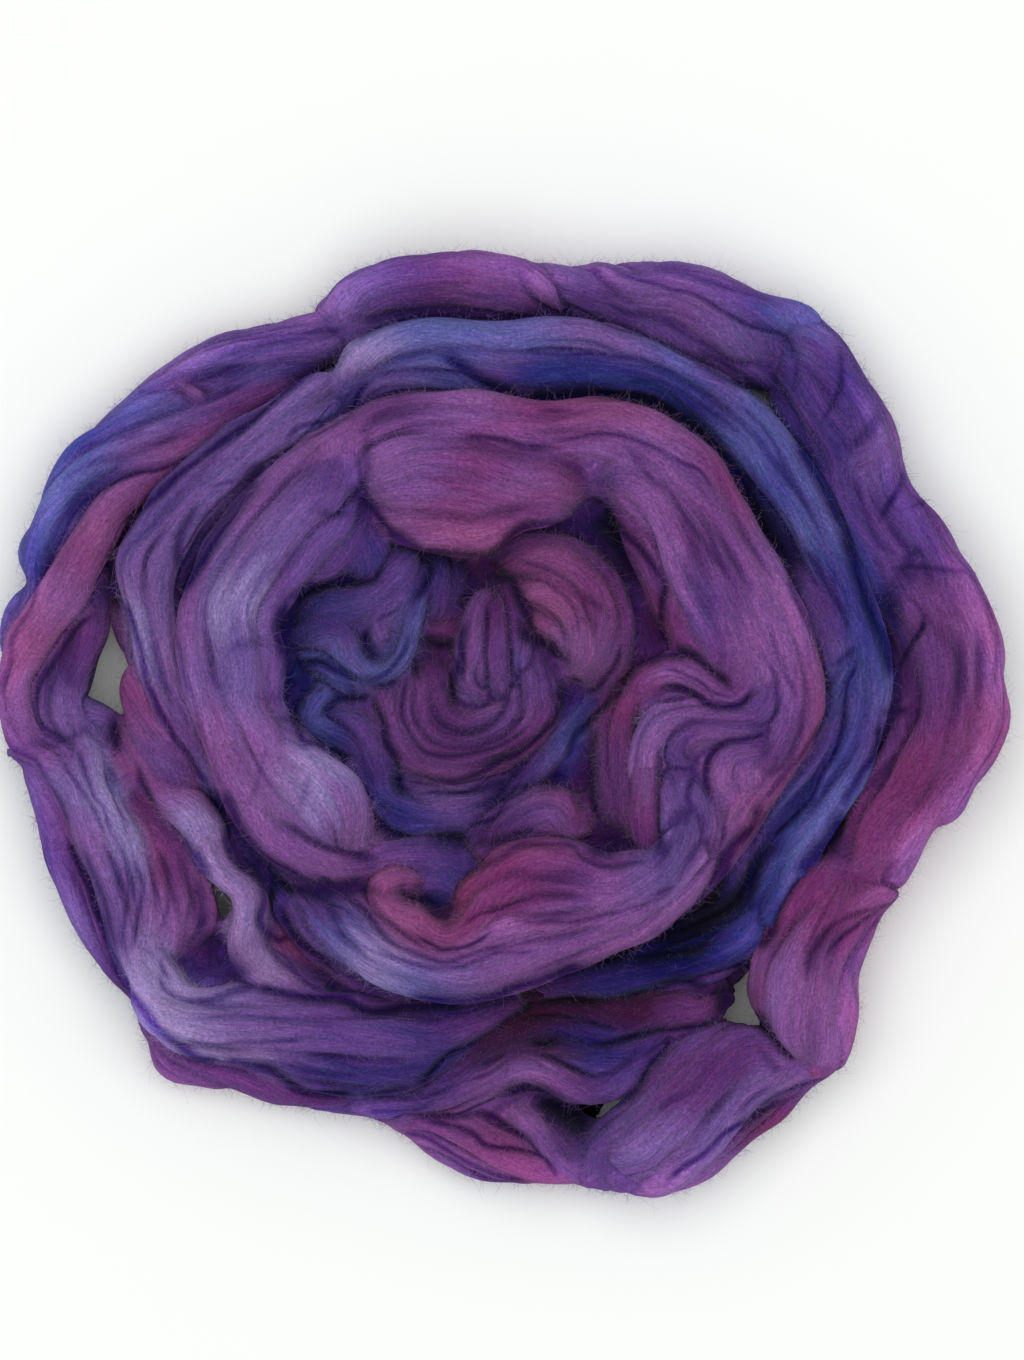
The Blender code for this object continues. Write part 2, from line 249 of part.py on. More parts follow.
INNER_FOLDS = {
    "inner bed left": [(-48, 80, 9, 46), (-62, 68, 12, 49), (-74, 54, 13, 50), (-82, 38, 13, 51),
        (-83, 22, 13, 51), (-80, 6, 12, 51), (-74, -10, 12, 51), (-66, -24, 12, 50), (-54, -34, 9, 47),
        (-40, -38, 7, 43), (-24, -40, 8, 43), (-8, -42, 7, 44)],
    "inner bed top": [(-48, 82, 8, 47), (-34, 86, 9, 49), (-16, 84, 10, 52), (2, 84, 9, 53),
        (20, 84, 9, 53), (36, 82, 10, 53), (50, 72, 11, 53), (60, 58, 12, 53), (68, 42, 13, 53),
        (75, 26, 13, 52), (80, 10, 12, 52), (78, -4, 11, 51), (70, -18, 11, 50), (62, -32, 10, 50),
        (52, -44, 10, 49), (38, -52, 10, 49), (22, -58, 11, 49), (4, -64, 11, 48), (-14, -68, 11, 48),
        (-32, -66, 9, 47), (-46, -58, 8, 45), (-56, -49, 6, 42)],
    "crumple one": [(-70, -44, 4, 34), (-66, -51, 4, 35), (-62, -59, 4, 35), (-56, -67, 4, 34),
        (-47, -74, 4, 33), (-37, -79, 4, 31)],
    "crown outer": [(-60, 83, 4, 51), (-48, 89, 4, 54), (-36, 94, 4, 56), (-23, 96, 4, 57),
        (-10, 95, 4, 57), (3, 93, 4, 57), (16, 92, 4, 57), (28, 94, 4, 58), (40, 91, 4, 59),
        (51, 85, 4, 59), (60, 77, 4, 59), (66, 67, 4, 58), (72, 56, 4, 58), (79, 46, 4, 58),
        (85, 35, 4, 58), (89, 23, 4, 58), (92, 11, 4, 57), (89, 0, 4, 56), (83, -10, 4, 55),
        (76, -20, 4, 54), (69, -30, 4, 53), (63, -40, 4, 52), (56, -49, 4, 51)],
    "crown second": [(-50, 84, 4, 53), (-38, 89, 4, 56), (-26, 92, 4, 57), (-12, 90, 4, 58),
        (2, 89, 4, 58), (15, 88, 4, 58), (27, 89, 4, 60), (39, 86, 4, 61), (49, 79, 4, 61),
        (58, 70, 4, 61), (64, 59, 5, 60), (71, 48, 5, 60), (77, 37, 5, 60), (82, 25, 5, 60),
        (85, 13, 4, 59), (84, 2, 4, 58), (80, -8, 4, 57), (75, -16, 4, 56)],
    "big lump": [(-44, 79, 5, 54), (-36, 77, 10, 59), (-24, 72, 14, 63), (-10, 70, 14, 65),
        (4, 72, 11, 64), (15, 73, 10, 62), (24, 74, 7, 58)],
    "lump belly": [(-40, 66, 5, 54), (-30, 62, 6, 58), (-20, 60, 7, 60), (-8, 59, 7, 60), (2, 64, 6, 60),
        (14, 66, 6, 59), (23, 68, 5, 55)],
    "crown inner body": [(26, 77, 5, 57), (35, 76, 6, 61), (44, 69, 7, 62), (51, 59, 7, 62),
        (56, 47, 7, 62), (62, 36, 7, 61), (67, 24, 7, 60), (71, 14, 5, 58)],
    "crown inner edge": [(29, 71, 4, 55), (36, 65, 4, 57), (41, 55, 5, 58), (46, 46, 5, 57),
        (49, 37, 5, 57), (52, 29, 4, 56), (59, 24, 4, 55), (66, 19, 4, 53), (71, 14, 3, 52)],
    "left thick outer": [(-50, 84, 4, 53), (-59, 79, 5, 55), (-69, 70, 5, 57), (-77, 60, 5, 58),
        (-85, 49, 5, 59), (-91, 37, 5, 60), (-92, 26, 5, 59), (-90, 13, 5, 60), (-86, 1, 5, 60),
        (-82, -11, 5, 60), (-77, -23, 5, 59), (-70, -33, 5, 57), (-60, -40, 5, 54), (-49, -43, 4, 50)],
    "left thick middle": [(-46, 78, 5, 56), (-55, 71, 7, 60), (-65, 61, 7, 62), (-74, 49, 7, 64),
        (-81, 36, 7, 64), (-81, 25, 7, 61), (-79, 15, 7, 62), (-78, 8, 6, 60), (-74, -3, 7, 63),
        (-68, -15, 8, 63), (-60, -24, 8, 62), (-52, -31, 7, 58)],
    "left thick inner": [(-44, 68, 5, 54), (-52, 60, 6, 57), (-60, 52, 6, 59), (-68, 42, 6, 59),
        (-73, 32, 5, 58), (-72, 24, 5, 56), (-71, 14, 5, 57), (-70, 7, 4, 55), (-65, -4, 5, 58),
        (-57, -11, 6, 59), (-49, -19, 6, 57), (-44, -27, 5, 54), (-42, -34, 4, 48)],
    "left low pleat": [(-74, -30, 3, 54), (-65, -35, 4, 55), (-55, -40, 4, 53), (-44, -42, 4, 48),
        (-32, -39, 4, 46), (-20, -38, 4, 46), (-10, -37, 4, 46)],
    "violet behind hook": [(-42, -44, 3, 42), (-32, -43, 4, 44), (-22, -44, 5, 45), (-14, -46, 5, 45),
        (-8, -41, 4, 46)],
    "low band outer": [(-60, -47, 4, 44), (-55, -56, 5, 49), (-47, -64, 5, 52), (-37, -71, 5, 54),
        (-25, -75, 5, 55), (-12, -76, 5, 55), (2, -74, 5, 55), (15, -69, 5, 55), (28, -64, 5, 55),
        (40, -58, 5, 55), (50, -50, 5, 55), (58, -41, 5, 54), (65, -31, 5, 54)],
    "low band middle": [(-54, -51, 4, 49), (-46, -58, 5, 53), (-36, -65, 5, 56), (-25, -70, 5, 57),
        (-12, -71, 5, 58), (2, -68, 5, 58), (15, -64, 5, 58), (28, -59, 5, 58), (39, -53, 5, 58),
        (49, -45, 5, 57), (56, -36, 5, 57), (62, -27, 4, 56)],
    "low band inner": [(-44, -51, 3, 52), (-36, -58, 4, 55), (-27, -64, 4, 57), (-16, -67, 4, 58),
        (-5, -63, 4, 59), (6, -59, 4, 60), (19, -57, 4, 60), (31, -53, 5, 60), (42, -47, 5, 60),
        (50, -38, 5, 59), (54, -28, 5, 58), (53, -18, 5, 56)],
    "hook": [(-26, -47, 2, 50), (-32, -46, 3, 54), (-37, -49, 3, 56), (-34, -54, 3, 58),
        (-28, -58, 4, 58), (-21, -62, 3, 58), (-14, -62, 3, 59), (-8, -56, 3, 60), (-2, -50, 4, 61),
        (7, -46, 5, 62), (18, -46, 5, 62), (30, -47, 5, 61), (40, -43, 4, 60)],
    "hook lump": [(-13, -51, 3, 56), (-6, -47, 4, 59), (1, -42, 5, 61), (10, -40, 6, 63),
        (20, -41, 6, 62), (31, -43, 5, 61), (41, -39, 4, 59)],
    "arch": [(36, 6, 3, 55), (41, 14, 4, 57), (49, 17, 4, 58), (56, 15, 4, 57), (62, 11, 4, 56),
        (68, 9, 3, 56), (73, 12, 4, 57), (74, 19, 4, 58), (71, 27, 4, 59)],
    "lilac bend": [(43, -16, 3, 54), (42, -8, 3, 57), (45, -1, 4, 58), (53, 3, 4, 58), (63, 4, 4, 58),
        (73, 4, 4, 58), (78, 9, 4, 59), (77, 18, 4, 59)],
    "second bend": [(50, -12, 4, 54), (52, -5, 4, 57), (58, -1, 4, 58), (66, -1, 4, 58), (74, -1, 4, 58),
        (80, 3, 4, 58)],
    "curl lobe": [(65, -22, 4, 54), (64, -14, 4, 57), (67, -8, 4, 57), (74, -6, 4, 56), (80, -5, 4, 56),
        (84, 2, 3, 56)],
    "violet mass": [(50, -10, 4, 52), (50, -18, 5, 55), (51, -27, 5, 57), (50, -36, 5, 56)],
    "violet mass two": [(58, -14, 4, 54), (58, -22, 5, 56), (59, -31, 5, 56), (56, -40, 5, 56)],
}

HEART_FOLDS = {
    "heart bed": [(-50, 32, 12, 38), (-36, 44, 10, 40), (-20, 46, 9, 38), (-4, 50, 8, 38),
        (12, 50, 9, 42), (26, 44, 9, 42), (30, 28, 9, 40), (34, 12, 8, 38), (40, -4, 8, 44),
        (40, -20, 9, 44), (20, -32, 8, 44), (4, -34, 8, 42), (-12, -26, 8, 36), (-28, -22, 8, 36),
        (-44, -10, 9, 36), (-54, 6, 9, 36), (-54, 22, 10, 37)],
    "heart floor": [(-30, 20, 9, 30), (-22, 4, 11, 36), (-8, -4, 11, 40), (4, 8, 9, 40), (-2, 24, 9, 40),
        (8, 30, 8, 34), (16, 2, 8, 30)],
    "small lump": [(-12, -37, 3, 46), (-4, -31, 5, 50), (5, -26, 6, 53), (14, -25, 7, 55),
        (21, -28, 5, 54), (24, -22, 3, 50)],
    "column": [(44, 17, 4, 51), (38, 11, 4, 54), (34, 2, 4, 55), (33, -8, 4, 56), (33, -18, 4, 56),
        (34, -26, 4, 54), (38, -32, 3, 50)],
    "tongue right": [(38, -1, 3, 54), (41, -9, 4, 57), (42, -18, 4, 58), (41, -27, 4, 56),
        (42, -35, 4, 54), (43, -41, 3, 54)],
    "roll top": [(-63, 33, 4, 45), (-56, 36, 5, 48), (-48, 37, 5, 49), (-39, 40, 5, 50),
        (-32, 47, 5, 51), (-29, 55, 4, 50)],
    "roll side": [(-64, 27, 4, 45), (-57, 28, 5, 48), (-50, 27, 5, 49), (-46, 21, 4, 48),
        (-40, 17, 3, 48), (-34, 18, 3, 49), (-30, 24, 3, 50), (-28, 32, 3, 50), (-26, 40, 3, 50),
        (-23, 48, 3, 49)],
    "roll core": [(-37, 27, 2, 47), (-36, 32, 3, 48), (-33, 37, 3, 49), (-29, 43, 3, 49)],
    "roll base": [(-61, 20, 4, 45), (-53, 20, 4, 46), (-46, 15, 4, 46), (-41, 12, 4, 44)],
    "blue curl": [(-50, 10, 3, 43), (-56, 8, 4, 45), (-59, 2, 4, 46), (-54, -2, 4, 46), (-48, -5, 4, 46),
        (-43, -12, 4, 45), (-39, -20, 4, 45), (-33, -25, 4, 45), (-25, -27, 4, 46), (-15, -27, 4, 46),
        (-5, -25, 4, 46), (3, -20, 4, 46), (9, -13, 4, 46), (16, -5, 4, 46), (23, 3, 4, 46),
        (30, 11, 4, 45), (36, 19, 4, 45), (41, 28, 4, 45), (43, 38, 3, 44)],
    "blue curl inner": [(-52, 4, 4, 45), (-45, 2, 4, 46), (-40, -5, 4, 46), (-37, -13, 4, 46),
        (-33, -20, 3, 44)],
    "low violet line": [(-24, -22, 3, 46), (-14, -22, 3, 47), (-5, -20, 3, 46), (3, -15, 3, 46)],
    "loop outer": [(-36, 12, 3, 46), (-35, 4, 3, 48), (-32, -4, 3, 50), (-27, -10, 3, 51),
        (-18, -13, 3, 52), (-8, -11, 3, 52), (2, -7, 3, 52), (9, -2, 3, 52), (13, 5, 3, 52),
        (13, 13, 3, 51), (10, 21, 3, 50)],
    "loop second": [(-29, 16, 3, 48), (-30, 7, 3, 50), (-28, -1, 3, 51), (-23, -7, 3, 52),
        (-14, -9, 3, 53), (-5, -7, 3, 53), (3, -3, 3, 53), (8, 3, 3, 53), (8, 11, 3, 52), (6, 19, 3, 51)],
    "loop third": [(-25, 15, 3, 49), (-25, 6, 3, 51), (-21, -1, 3, 52), (-13, -4, 3, 53),
        (-4, -2, 3, 53), (2, 3, 3, 53), (3, 10, 3, 53)],
    "loop inner": [(-20, 13, 3, 49), (-19, 5, 3, 51), (-13, 1, 3, 53), (-6, 3, 3, 53), (0, 7, 3, 53)],
    "tongue left": [(-7, 8, 3, 53), (-10, 14, 4, 55), (-10, 24, 3, 56), (-8, 34, 3, 56), (-4, 40, 3, 54)],
    "tongue middle": [(-1, 11, 3, 53), (-3, 20, 3, 55), (-3, 30, 3, 56), (-3, 39, 3, 54)],
    "tongue side": [(4, 14, 3, 50), (4, 24, 3, 51), (4, 33, 3, 52), (1, 40, 3, 52)],
    "shell outer": [(-9, 51, 3, 47), (1, 54, 4, 51), (12, 55, 4, 54), (22, 51, 4, 56), (30, 43, 4, 56),
        (33, 33, 4, 55), (33, 23, 4, 53), (29, 14, 4, 50), (23, 11, 3, 47)],
    "shell middle": [(-5, 47, 3, 48), (5, 49, 4, 53), (15, 49, 5, 57), (24, 43, 5, 58), (28, 34, 5, 58),
        (29, 25, 4, 56), (27, 18, 4, 53)],
    "shell inner": [(2, 43, 3, 49), (8, 42, 4, 54), (15, 39, 5, 57), (21, 34, 5, 58), (24, 27, 4, 57),
        (24, 20, 4, 55), (21, 15, 3, 51)],
    "shell rim": [(7, 36, 3, 49), (12, 32, 3, 53), (18, 28, 4, 55), (20, 22, 3, 54)],
    "shadow strand": [(-4, 57, 3, 45), (7, 58, 3, 47), (19, 58, 4, 48), (29, 53, 4, 47), (36, 44, 4, 46),
        (39, 34, 4, 45), (41, 25, 4, 44)],
    "blue gap strand": [(26, 66, 4, 38), (31, 60, 4, 38), (36, 52, 4, 38), (41, 43, 4, 40),
        (44, 34, 3, 42), (44, 27, 3, 42)],
    "neck violet": [(-20, 53, 3, 46), (-20, 45, 3, 46), (-21, 37, 3, 45), (-22, 30, 3, 44)],
    "neck indigo": [(-14, 52, 3, 44), (-15, 44, 3, 44), (-15, 36, 3, 43), (-14, 30, 3, 42)],
}

TURNS = {
    "floor": FLOOR_FOLDS,
    "outer turn": OUTER_FOLDS,
    "middle turn": MIDDLE_FOLDS,
    "inner turn": INNER_FOLDS,
    "heart": HEART_FOLDS,
}


def clear_file():
    """Takes out every object that is already there."""
    for thing in list(bpy.data.objects):
        bpy.data.objects.remove(thing, do_unlink=True)


def smooth_route(rows):
    """Rounds the rows of one fold into an even run of stations."""
    rows = np.array(rows, dtype=float) * MILLIMETRE
    ends = np.vstack([2 * rows[0] - rows[1], rows, 2 * rows[-1] - rows[-2]])
    share = (np.arange(SPAN_STEPS) / SPAN_STEPS)[:, None]
    stations = []
    for before, start, stop, after in zip(ends, ends[1:], ends[2:], ends[3:]):
        bend = 2 * before - 5 * start + 4 * stop - after
        swing = -before + 3 * start - 3 * stop + after
        stations.append(0.5 * (2 * start + (stop - before) * share
                               + bend * share ** 2 + swing * share ** 3))
    return np.vstack(stations + [rows[-1:]])


def end_rounding(count):
    """Share of the full width at each station, drawn in at both ends."""
    reach = np.arange(count, dtype=float)
    near = np.minimum(reach, reach[::-1]) / SPAN_STEPS
    return np.sqrt(1 - np.clip(1 - near * 2, 0, 0.96) ** 2)


def fold_section(half_width, top, rests):
    """Side and height of each point round one section, crest first."""
    cap = min(half_width * CAP_SHARE, top * CAP_HEIGHT_SHARE)
    if rests:
        low = -FOOT_SINK * cap
    else:
        low = max(top - FOLD_DEPTH * half_width, top * 0.2)
    turn = np.linspace(0, math.pi, CROWN_STEPS + 1)
    crown = np.stack([half_width * np.cos(turn), top - cap + cap * np.sin(turn)], axis=1)
    belly = np.stack([-half_width * np.cos(turn), low + cap - cap * np.sin(turn)], axis=1)
    return np.vstack([crown, belly])


def add_fold(shell, rows, rests):
    """Adds the closed skin of one fold to the bmesh."""
    stations = smooth_route(rows)
    heading = np.gradient(stations[:, :2], axis=0)
    heading /= np.linalg.norm(heading, axis=1, keepdims=True)
    drawn_in = end_rounding(len(stations))
    rings = []
    for (x, y, half_width, top), (along_x, along_y), share in zip(stations, heading, drawn_in):
        section = fold_section(half_width * share, top, rests)
        section[:, 1] -= (1 - share) * half_width
        rings.append([shell.verts.new((x - along_y * side, y + along_x * side, height))
                      for side, height in section])
    for ring, following in zip(rings, rings[1:]):
        for corner, start in enumerate(ring):
            other = (corner + 1) % len(ring)
            shell.faces.new((start, ring[other], following[other], following[corner]))
    shell.faces.new(list(reversed(rings[0])))
    shell.faces.new(rings[-1])


def lay_folds():
    """Lays every fold of every turn and returns them as one object."""
    shell = bmesh.new()
    for turn, folds in TURNS.items():
        for name, rows in folds.items():
            rests = turn == "floor" or " bed" in name or "foot" in name
            add_fold(shell, rows, rests)
    bmesh.ops.recalc_face_normals(shell, faces=shell.faces)
    mesh = bpy.data.meshes.new(NODE)
    shell.to_mesh(mesh)
    shell.free()
    nest = bpy.data.objects.new(NODE, mesh)
    bpy.context.scene.collection.objects.link(nest)
    return nest


def apply_modifiers(thing):
    """Bakes the modifiers of an object into its mesh."""
    bpy.context.view_layer.update()
    graph = bpy.context.evaluated_depsgraph_get()
    baked = bpy.data.meshes.new_from_object(thing.evaluated_get(graph))
    thing.modifiers.clear()
    thing.data = baked


def keep_largest_skin(thing):
    """Drops every loose shell but the outer one, so no hollow is sealed in."""
    shell = bmesh.new()
    shell.from_mesh(thing.data)
    left = set(shell.verts)
    groups = []
    while left:
        seed = left.pop()
        group = [seed]
        edge_of_group = [seed]
        while edge_of_group:
            corner = edge_of_group.pop()
            for edge in corner.link_edges:
                other = edge.other_vert(corner)
                if other in left:
                    left.remove(other)
                    group.append(other)
                    edge_of_group.append(other)
        groups.append(group)
    groups.sort(key=len)
    for group in groups[:-1]:
        bmesh.ops.delete(shell, geom=group, context="VERTS")
    shell.to_mesh(thing.data)
    shell.free()


def felt_together(nest):
    """Joins the overlapping folds into one soft skin."""
    felt = nest.modifiers.new("felt", "REMESH")
    felt.mode = "VOXEL"
    felt.voxel_size = FELT_GRAIN
    soften = nest.modifiers.new("soften", "SMOOTH")
    soften.factor = SOFTEN_SHARE
    soften.iterations = SOFTEN_PASSES
    apply_modifiers(nest)
    keep_largest_skin(nest)
    thin = nest.modifiers.new("thin", "DECIMATE")
    thin.ratio = SKIN_TRIANGLES / (2 * len(nest.data.polygons))
    thin.use_collapse_triangulate = True
    apply_modifiers(nest)


def press_flat(nest):
    """Trims what sinks below the table, so the underside rests flat."""
    bpy.ops.mesh.primitive_cube_add(size=1)
    block = bpy.context.active_object
    block.name = "table_trim"
    block.hide_render = True
    wide = NEST_LONG + 2 * TRIM_MARGIN
    broad = NEST_BROAD + 2 * TRIM_MARGIN
    for corner in block.data.vertices:
        corner.co = (corner.co.x * wide, corner.co.y * broad, (corner.co.z - 0.5) * TRIM_DEPTH)
    trim = nest.modifiers.new("trim", "BOOLEAN")
    trim.operation = "DIFFERENCE"
    trim.solver = "EXACT"
    trim.object = block
    apply_modifiers(nest)
    bpy.data.objects.remove(block, do_unlink=True)


def centre_underside(nest):
    """Moves the mesh so that the middle of its underside is the origin."""
    places = np.array([tuple(corner.co) for corner in nest.data.vertices])
    middle = (places.min(axis=0) + places.max(axis=0)) / 2
    for corner in nest.data.vertices:
        corner.co.x -= middle[0]
        corner.co.y -= middle[1]


def dyed_wool():
    """The wool itself: violet, dry and soft."""
    wool = bpy.data.materials.new("wool")
    wool.use_nodes = True
    shader = wool.node_tree.nodes["Principled BSDF"]
    shader.inputs["Base Color"].default_value = (0.155, 0.07, 0.24, 1)
    shader.inputs["Roughness"].default_value = 0.9
    shader.inputs["Sheen Weight"].default_value = 0.3
    return wool


def build_roving():
    """Builds the nest of roving as one solid."""
    clear_file()
    nest = lay_folds()
    felt_together(nest)
    press_flat(nest)
    keep_largest_skin(nest)
    centre_underside(nest)
    nest.data.materials.clear()
    nest.data.materials.append(dyed_wool())
    return nest


build_roving()
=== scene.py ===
"""Wool roving: one length of space-dyed combed wool, laid in a loose spiral nest.

The nest is dressed turn by turn.  Every fold is a short line of rows; the folds of a turn are laid
as soft ropes, felted into one skin, combed into lengthways creases and dyed along the strand, with
highlight painted on the ridges and shade painted in creases and hollows.  The named creases are
pressed in and shade is painted into them, and loose fibres are teased out of the skin.
"""

import json
import logging
import math
import zlib
from contextlib import contextmanager
from dataclasses import dataclass, field
from enum import Enum
from itertools import accumulate
from typing import Callable, Iterator, NamedTuple

import bpy
import numpy as np
from bpy.types import Material, Mesh, Node, Object
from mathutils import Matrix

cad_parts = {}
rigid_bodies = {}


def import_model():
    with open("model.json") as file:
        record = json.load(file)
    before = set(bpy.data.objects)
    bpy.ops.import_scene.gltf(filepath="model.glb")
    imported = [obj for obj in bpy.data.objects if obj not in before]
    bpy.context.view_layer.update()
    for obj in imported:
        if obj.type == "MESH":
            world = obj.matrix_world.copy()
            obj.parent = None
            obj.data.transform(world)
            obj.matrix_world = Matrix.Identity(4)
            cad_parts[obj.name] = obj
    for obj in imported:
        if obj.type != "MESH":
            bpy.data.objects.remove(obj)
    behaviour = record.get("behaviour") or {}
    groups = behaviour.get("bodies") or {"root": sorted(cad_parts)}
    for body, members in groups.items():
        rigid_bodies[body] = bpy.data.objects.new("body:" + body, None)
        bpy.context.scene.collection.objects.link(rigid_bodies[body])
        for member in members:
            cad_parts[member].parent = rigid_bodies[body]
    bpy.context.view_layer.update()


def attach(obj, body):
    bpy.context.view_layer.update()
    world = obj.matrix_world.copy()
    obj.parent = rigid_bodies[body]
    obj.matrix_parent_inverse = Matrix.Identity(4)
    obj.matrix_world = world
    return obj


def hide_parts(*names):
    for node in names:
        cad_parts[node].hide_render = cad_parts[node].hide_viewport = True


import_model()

REPORT = logging.getLogger("roving")
NODE = "roving_nest"
BODY = "root"
MM = 0.001
NEST_SHIFT = (0.62, -1.13)       # from the tables' zero to the middle of the nest, millimetres
Array = np.ndarray
Faces = list[tuple[int, ...]]
Colour = tuple[float, float, float, float]
Inputs = dict[str, float | tuple[float, ...]]


class Dye(Enum):
    """Wool dyes and one painted shade: the letter in the rows and the colour of a dry crest, 0-255 each."""

    VIOLET = ("v", 92, 60, 128)
    PLUM = ("p", 93, 48, 109)
    MAGENTA = ("m", 112, 48, 104)
    CRIMSON = ("c", 120, 46, 92)
    LILAC = ("l", 145, 126, 176)
    PERIWINKLE = ("w", 88, 86, 152)
    INDIGO = ("i", 52, 38, 108)
    ROYAL = ("b", 57, 56, 134)
    DEEP_BLUE = ("d", 16, 15, 88)
    MAROON = ("r", 62, 18, 56)
    MAUVE = ("a", 122, 76, 138)
    ROSE = ("k", 128, 68, 120)
    # n is no dye of the roving but near-black shade, painted on wool that lies deep in shadow.
    NIGHT = ("n", 22, 12, 46)
    HEATHER = ("h", 108, 80, 142)

    @property
    def light(self) -> tuple[float, ...]:
        """The dye as linear light."""
        shares = (value / 255.0 for value in self.value[1:])
        return tuple(share / 12.92 if share <= 0.04045 else ((share + 0.055) / 1.055) ** 2.4
                     for share in shares)


COLOUR_OF_LETTER = {dye.value[0]: dye for dye in Dye}


# A table has a line for each fold, "name: x y half top dye;...", and a line that is set in goes on with
# the fold above it.  The first row says where the crest starts and each further row how far on it
# passes; then come half the fold's width and the height of its crest, all in millimetres, and its dye,
# where n is painted shade.  What a row leaves out stays as it was in the row before.
# The floor folds all take n, the near-black painted shade, as they show only deep in shadow.
FLOOR_FOLDS = """
floor ring: -50 34 16 30 n;20 18 16 32;30 6;28 -2;20 -18 17 34;6 -24;-2 -26;-14 -22 17 33;-26 -10 17 32;
  -28 2 16;-26 12 16 31;-14 22;0 24 16 30
floor heart: -52 20 16 30 n;18 6 20 29;20 2 22 28;18 -2 22 29;12 -20 20 28;-8 -20 20 27;-22 -2;-22 8 18 29
floor middle: -66 -44 12 24 n;-18 18 12 26;-8 26 12 27;-2 26;8 24;18 24 13 28;26 18;32 6;30 0 13 26;
  26 -8 13 25;22 -22;14 -22 13 26;10 -26 13 27;0 -26;-12 -24 13 26;-20 -22 13 25;-26 -16 13 24;-30 -10;
  -32 0 13 25;-24 12 12
floor slot: 38 -108 4 12 n;8 8 5 15;8 7 5 17;9 3 4
floor left: -84 -34 4 20 n;-6 12 5 22;-9 10 6 24;-9 12 5;-4 12 3 22
floor left low: -118 44 4 18 n;2 -8 3
floor left seam: -117 -2 4 19 n;7 -12 5 20;9 -11;8 -12
floor pit: -99 -70 5 12 n;9 -3;10 0 5 13
floor core: -18 50 14 30 n;-22 -4;-20 -10 12;-6 -16 8 32;2 -16
floor fan: 38 -102 5 10 n;-7 -10 6 9;-7 -6 7;-12 2 6 10;-16 0 6 12;-12 0 5
floor crumple: -72 -38 5 26 n;10 -8 6;8 -8;14 6 8 28
"""

BACK_FOLDS = """
outer bed top: -50 121.5 9 22 p;20 6 11 26;22 2.5 11 28;19 -2.5 10 27;21 .5 10 27 v;20 -1 11 28;18 -8;
  14 -7 10
top crest: -54 126 4 26 a;5 1 7 31 h;13.5 5 8 34 v;17.5 2 8 36 p;12 0 8 37 a;10 -2 8 37 v;8 -3 6 34 a;
  6 -5 3 30
top crest edge: -10 140.5 2 33 a;9 -2 3 35;7 -3.5 3 37;6 -5;5 -5 2 33
top under: -57.5 118.5 6 26 v;13.5 2.5 6 29 h;14 3 6 31 v;18 2 7 32;14 -1 6 31;11 -2 4 28
top ridge two: 6 137.5 3 31 a;8 -3 4 33 h;12 -4.5 5 34 v;12 -5;12 -6;10 -7 4 33;7 -6 3 30
top dark pleat: 10 133 3 29 v;10 -6 4 30;12 -5 4 30 p;12 -5 4 30 v;12 -7 4 29;10 -7 3 27 p
top lilac pleat: 21.5 137 3 28 a;8 -1.5 4 33;10.5 -4.5 5 35 h;12 -3 6 36 a;11 -6 6 36 h;8 -6;7 -3 5 34 v
top blue pleat: 34 137 3 25 a;5 -3 4 31 v;13 0 5 33;12 -4 5 34;12 -6 6 34 i;10 -2 5 34 w
top outer pleat: 33.5 138.5 3 22 a;16 -2.5 3 25 h;12.5 -3 4 27;13 -6.5 4 29 v;14.5 -3 4 29 w;5.5 -1.5 3 28
top low pleat: 42 124 4 31 h;12 -6 4 32 v;10 -8 5 32 p;10 -4 4 30 v;8 -3 3 28 i
"""

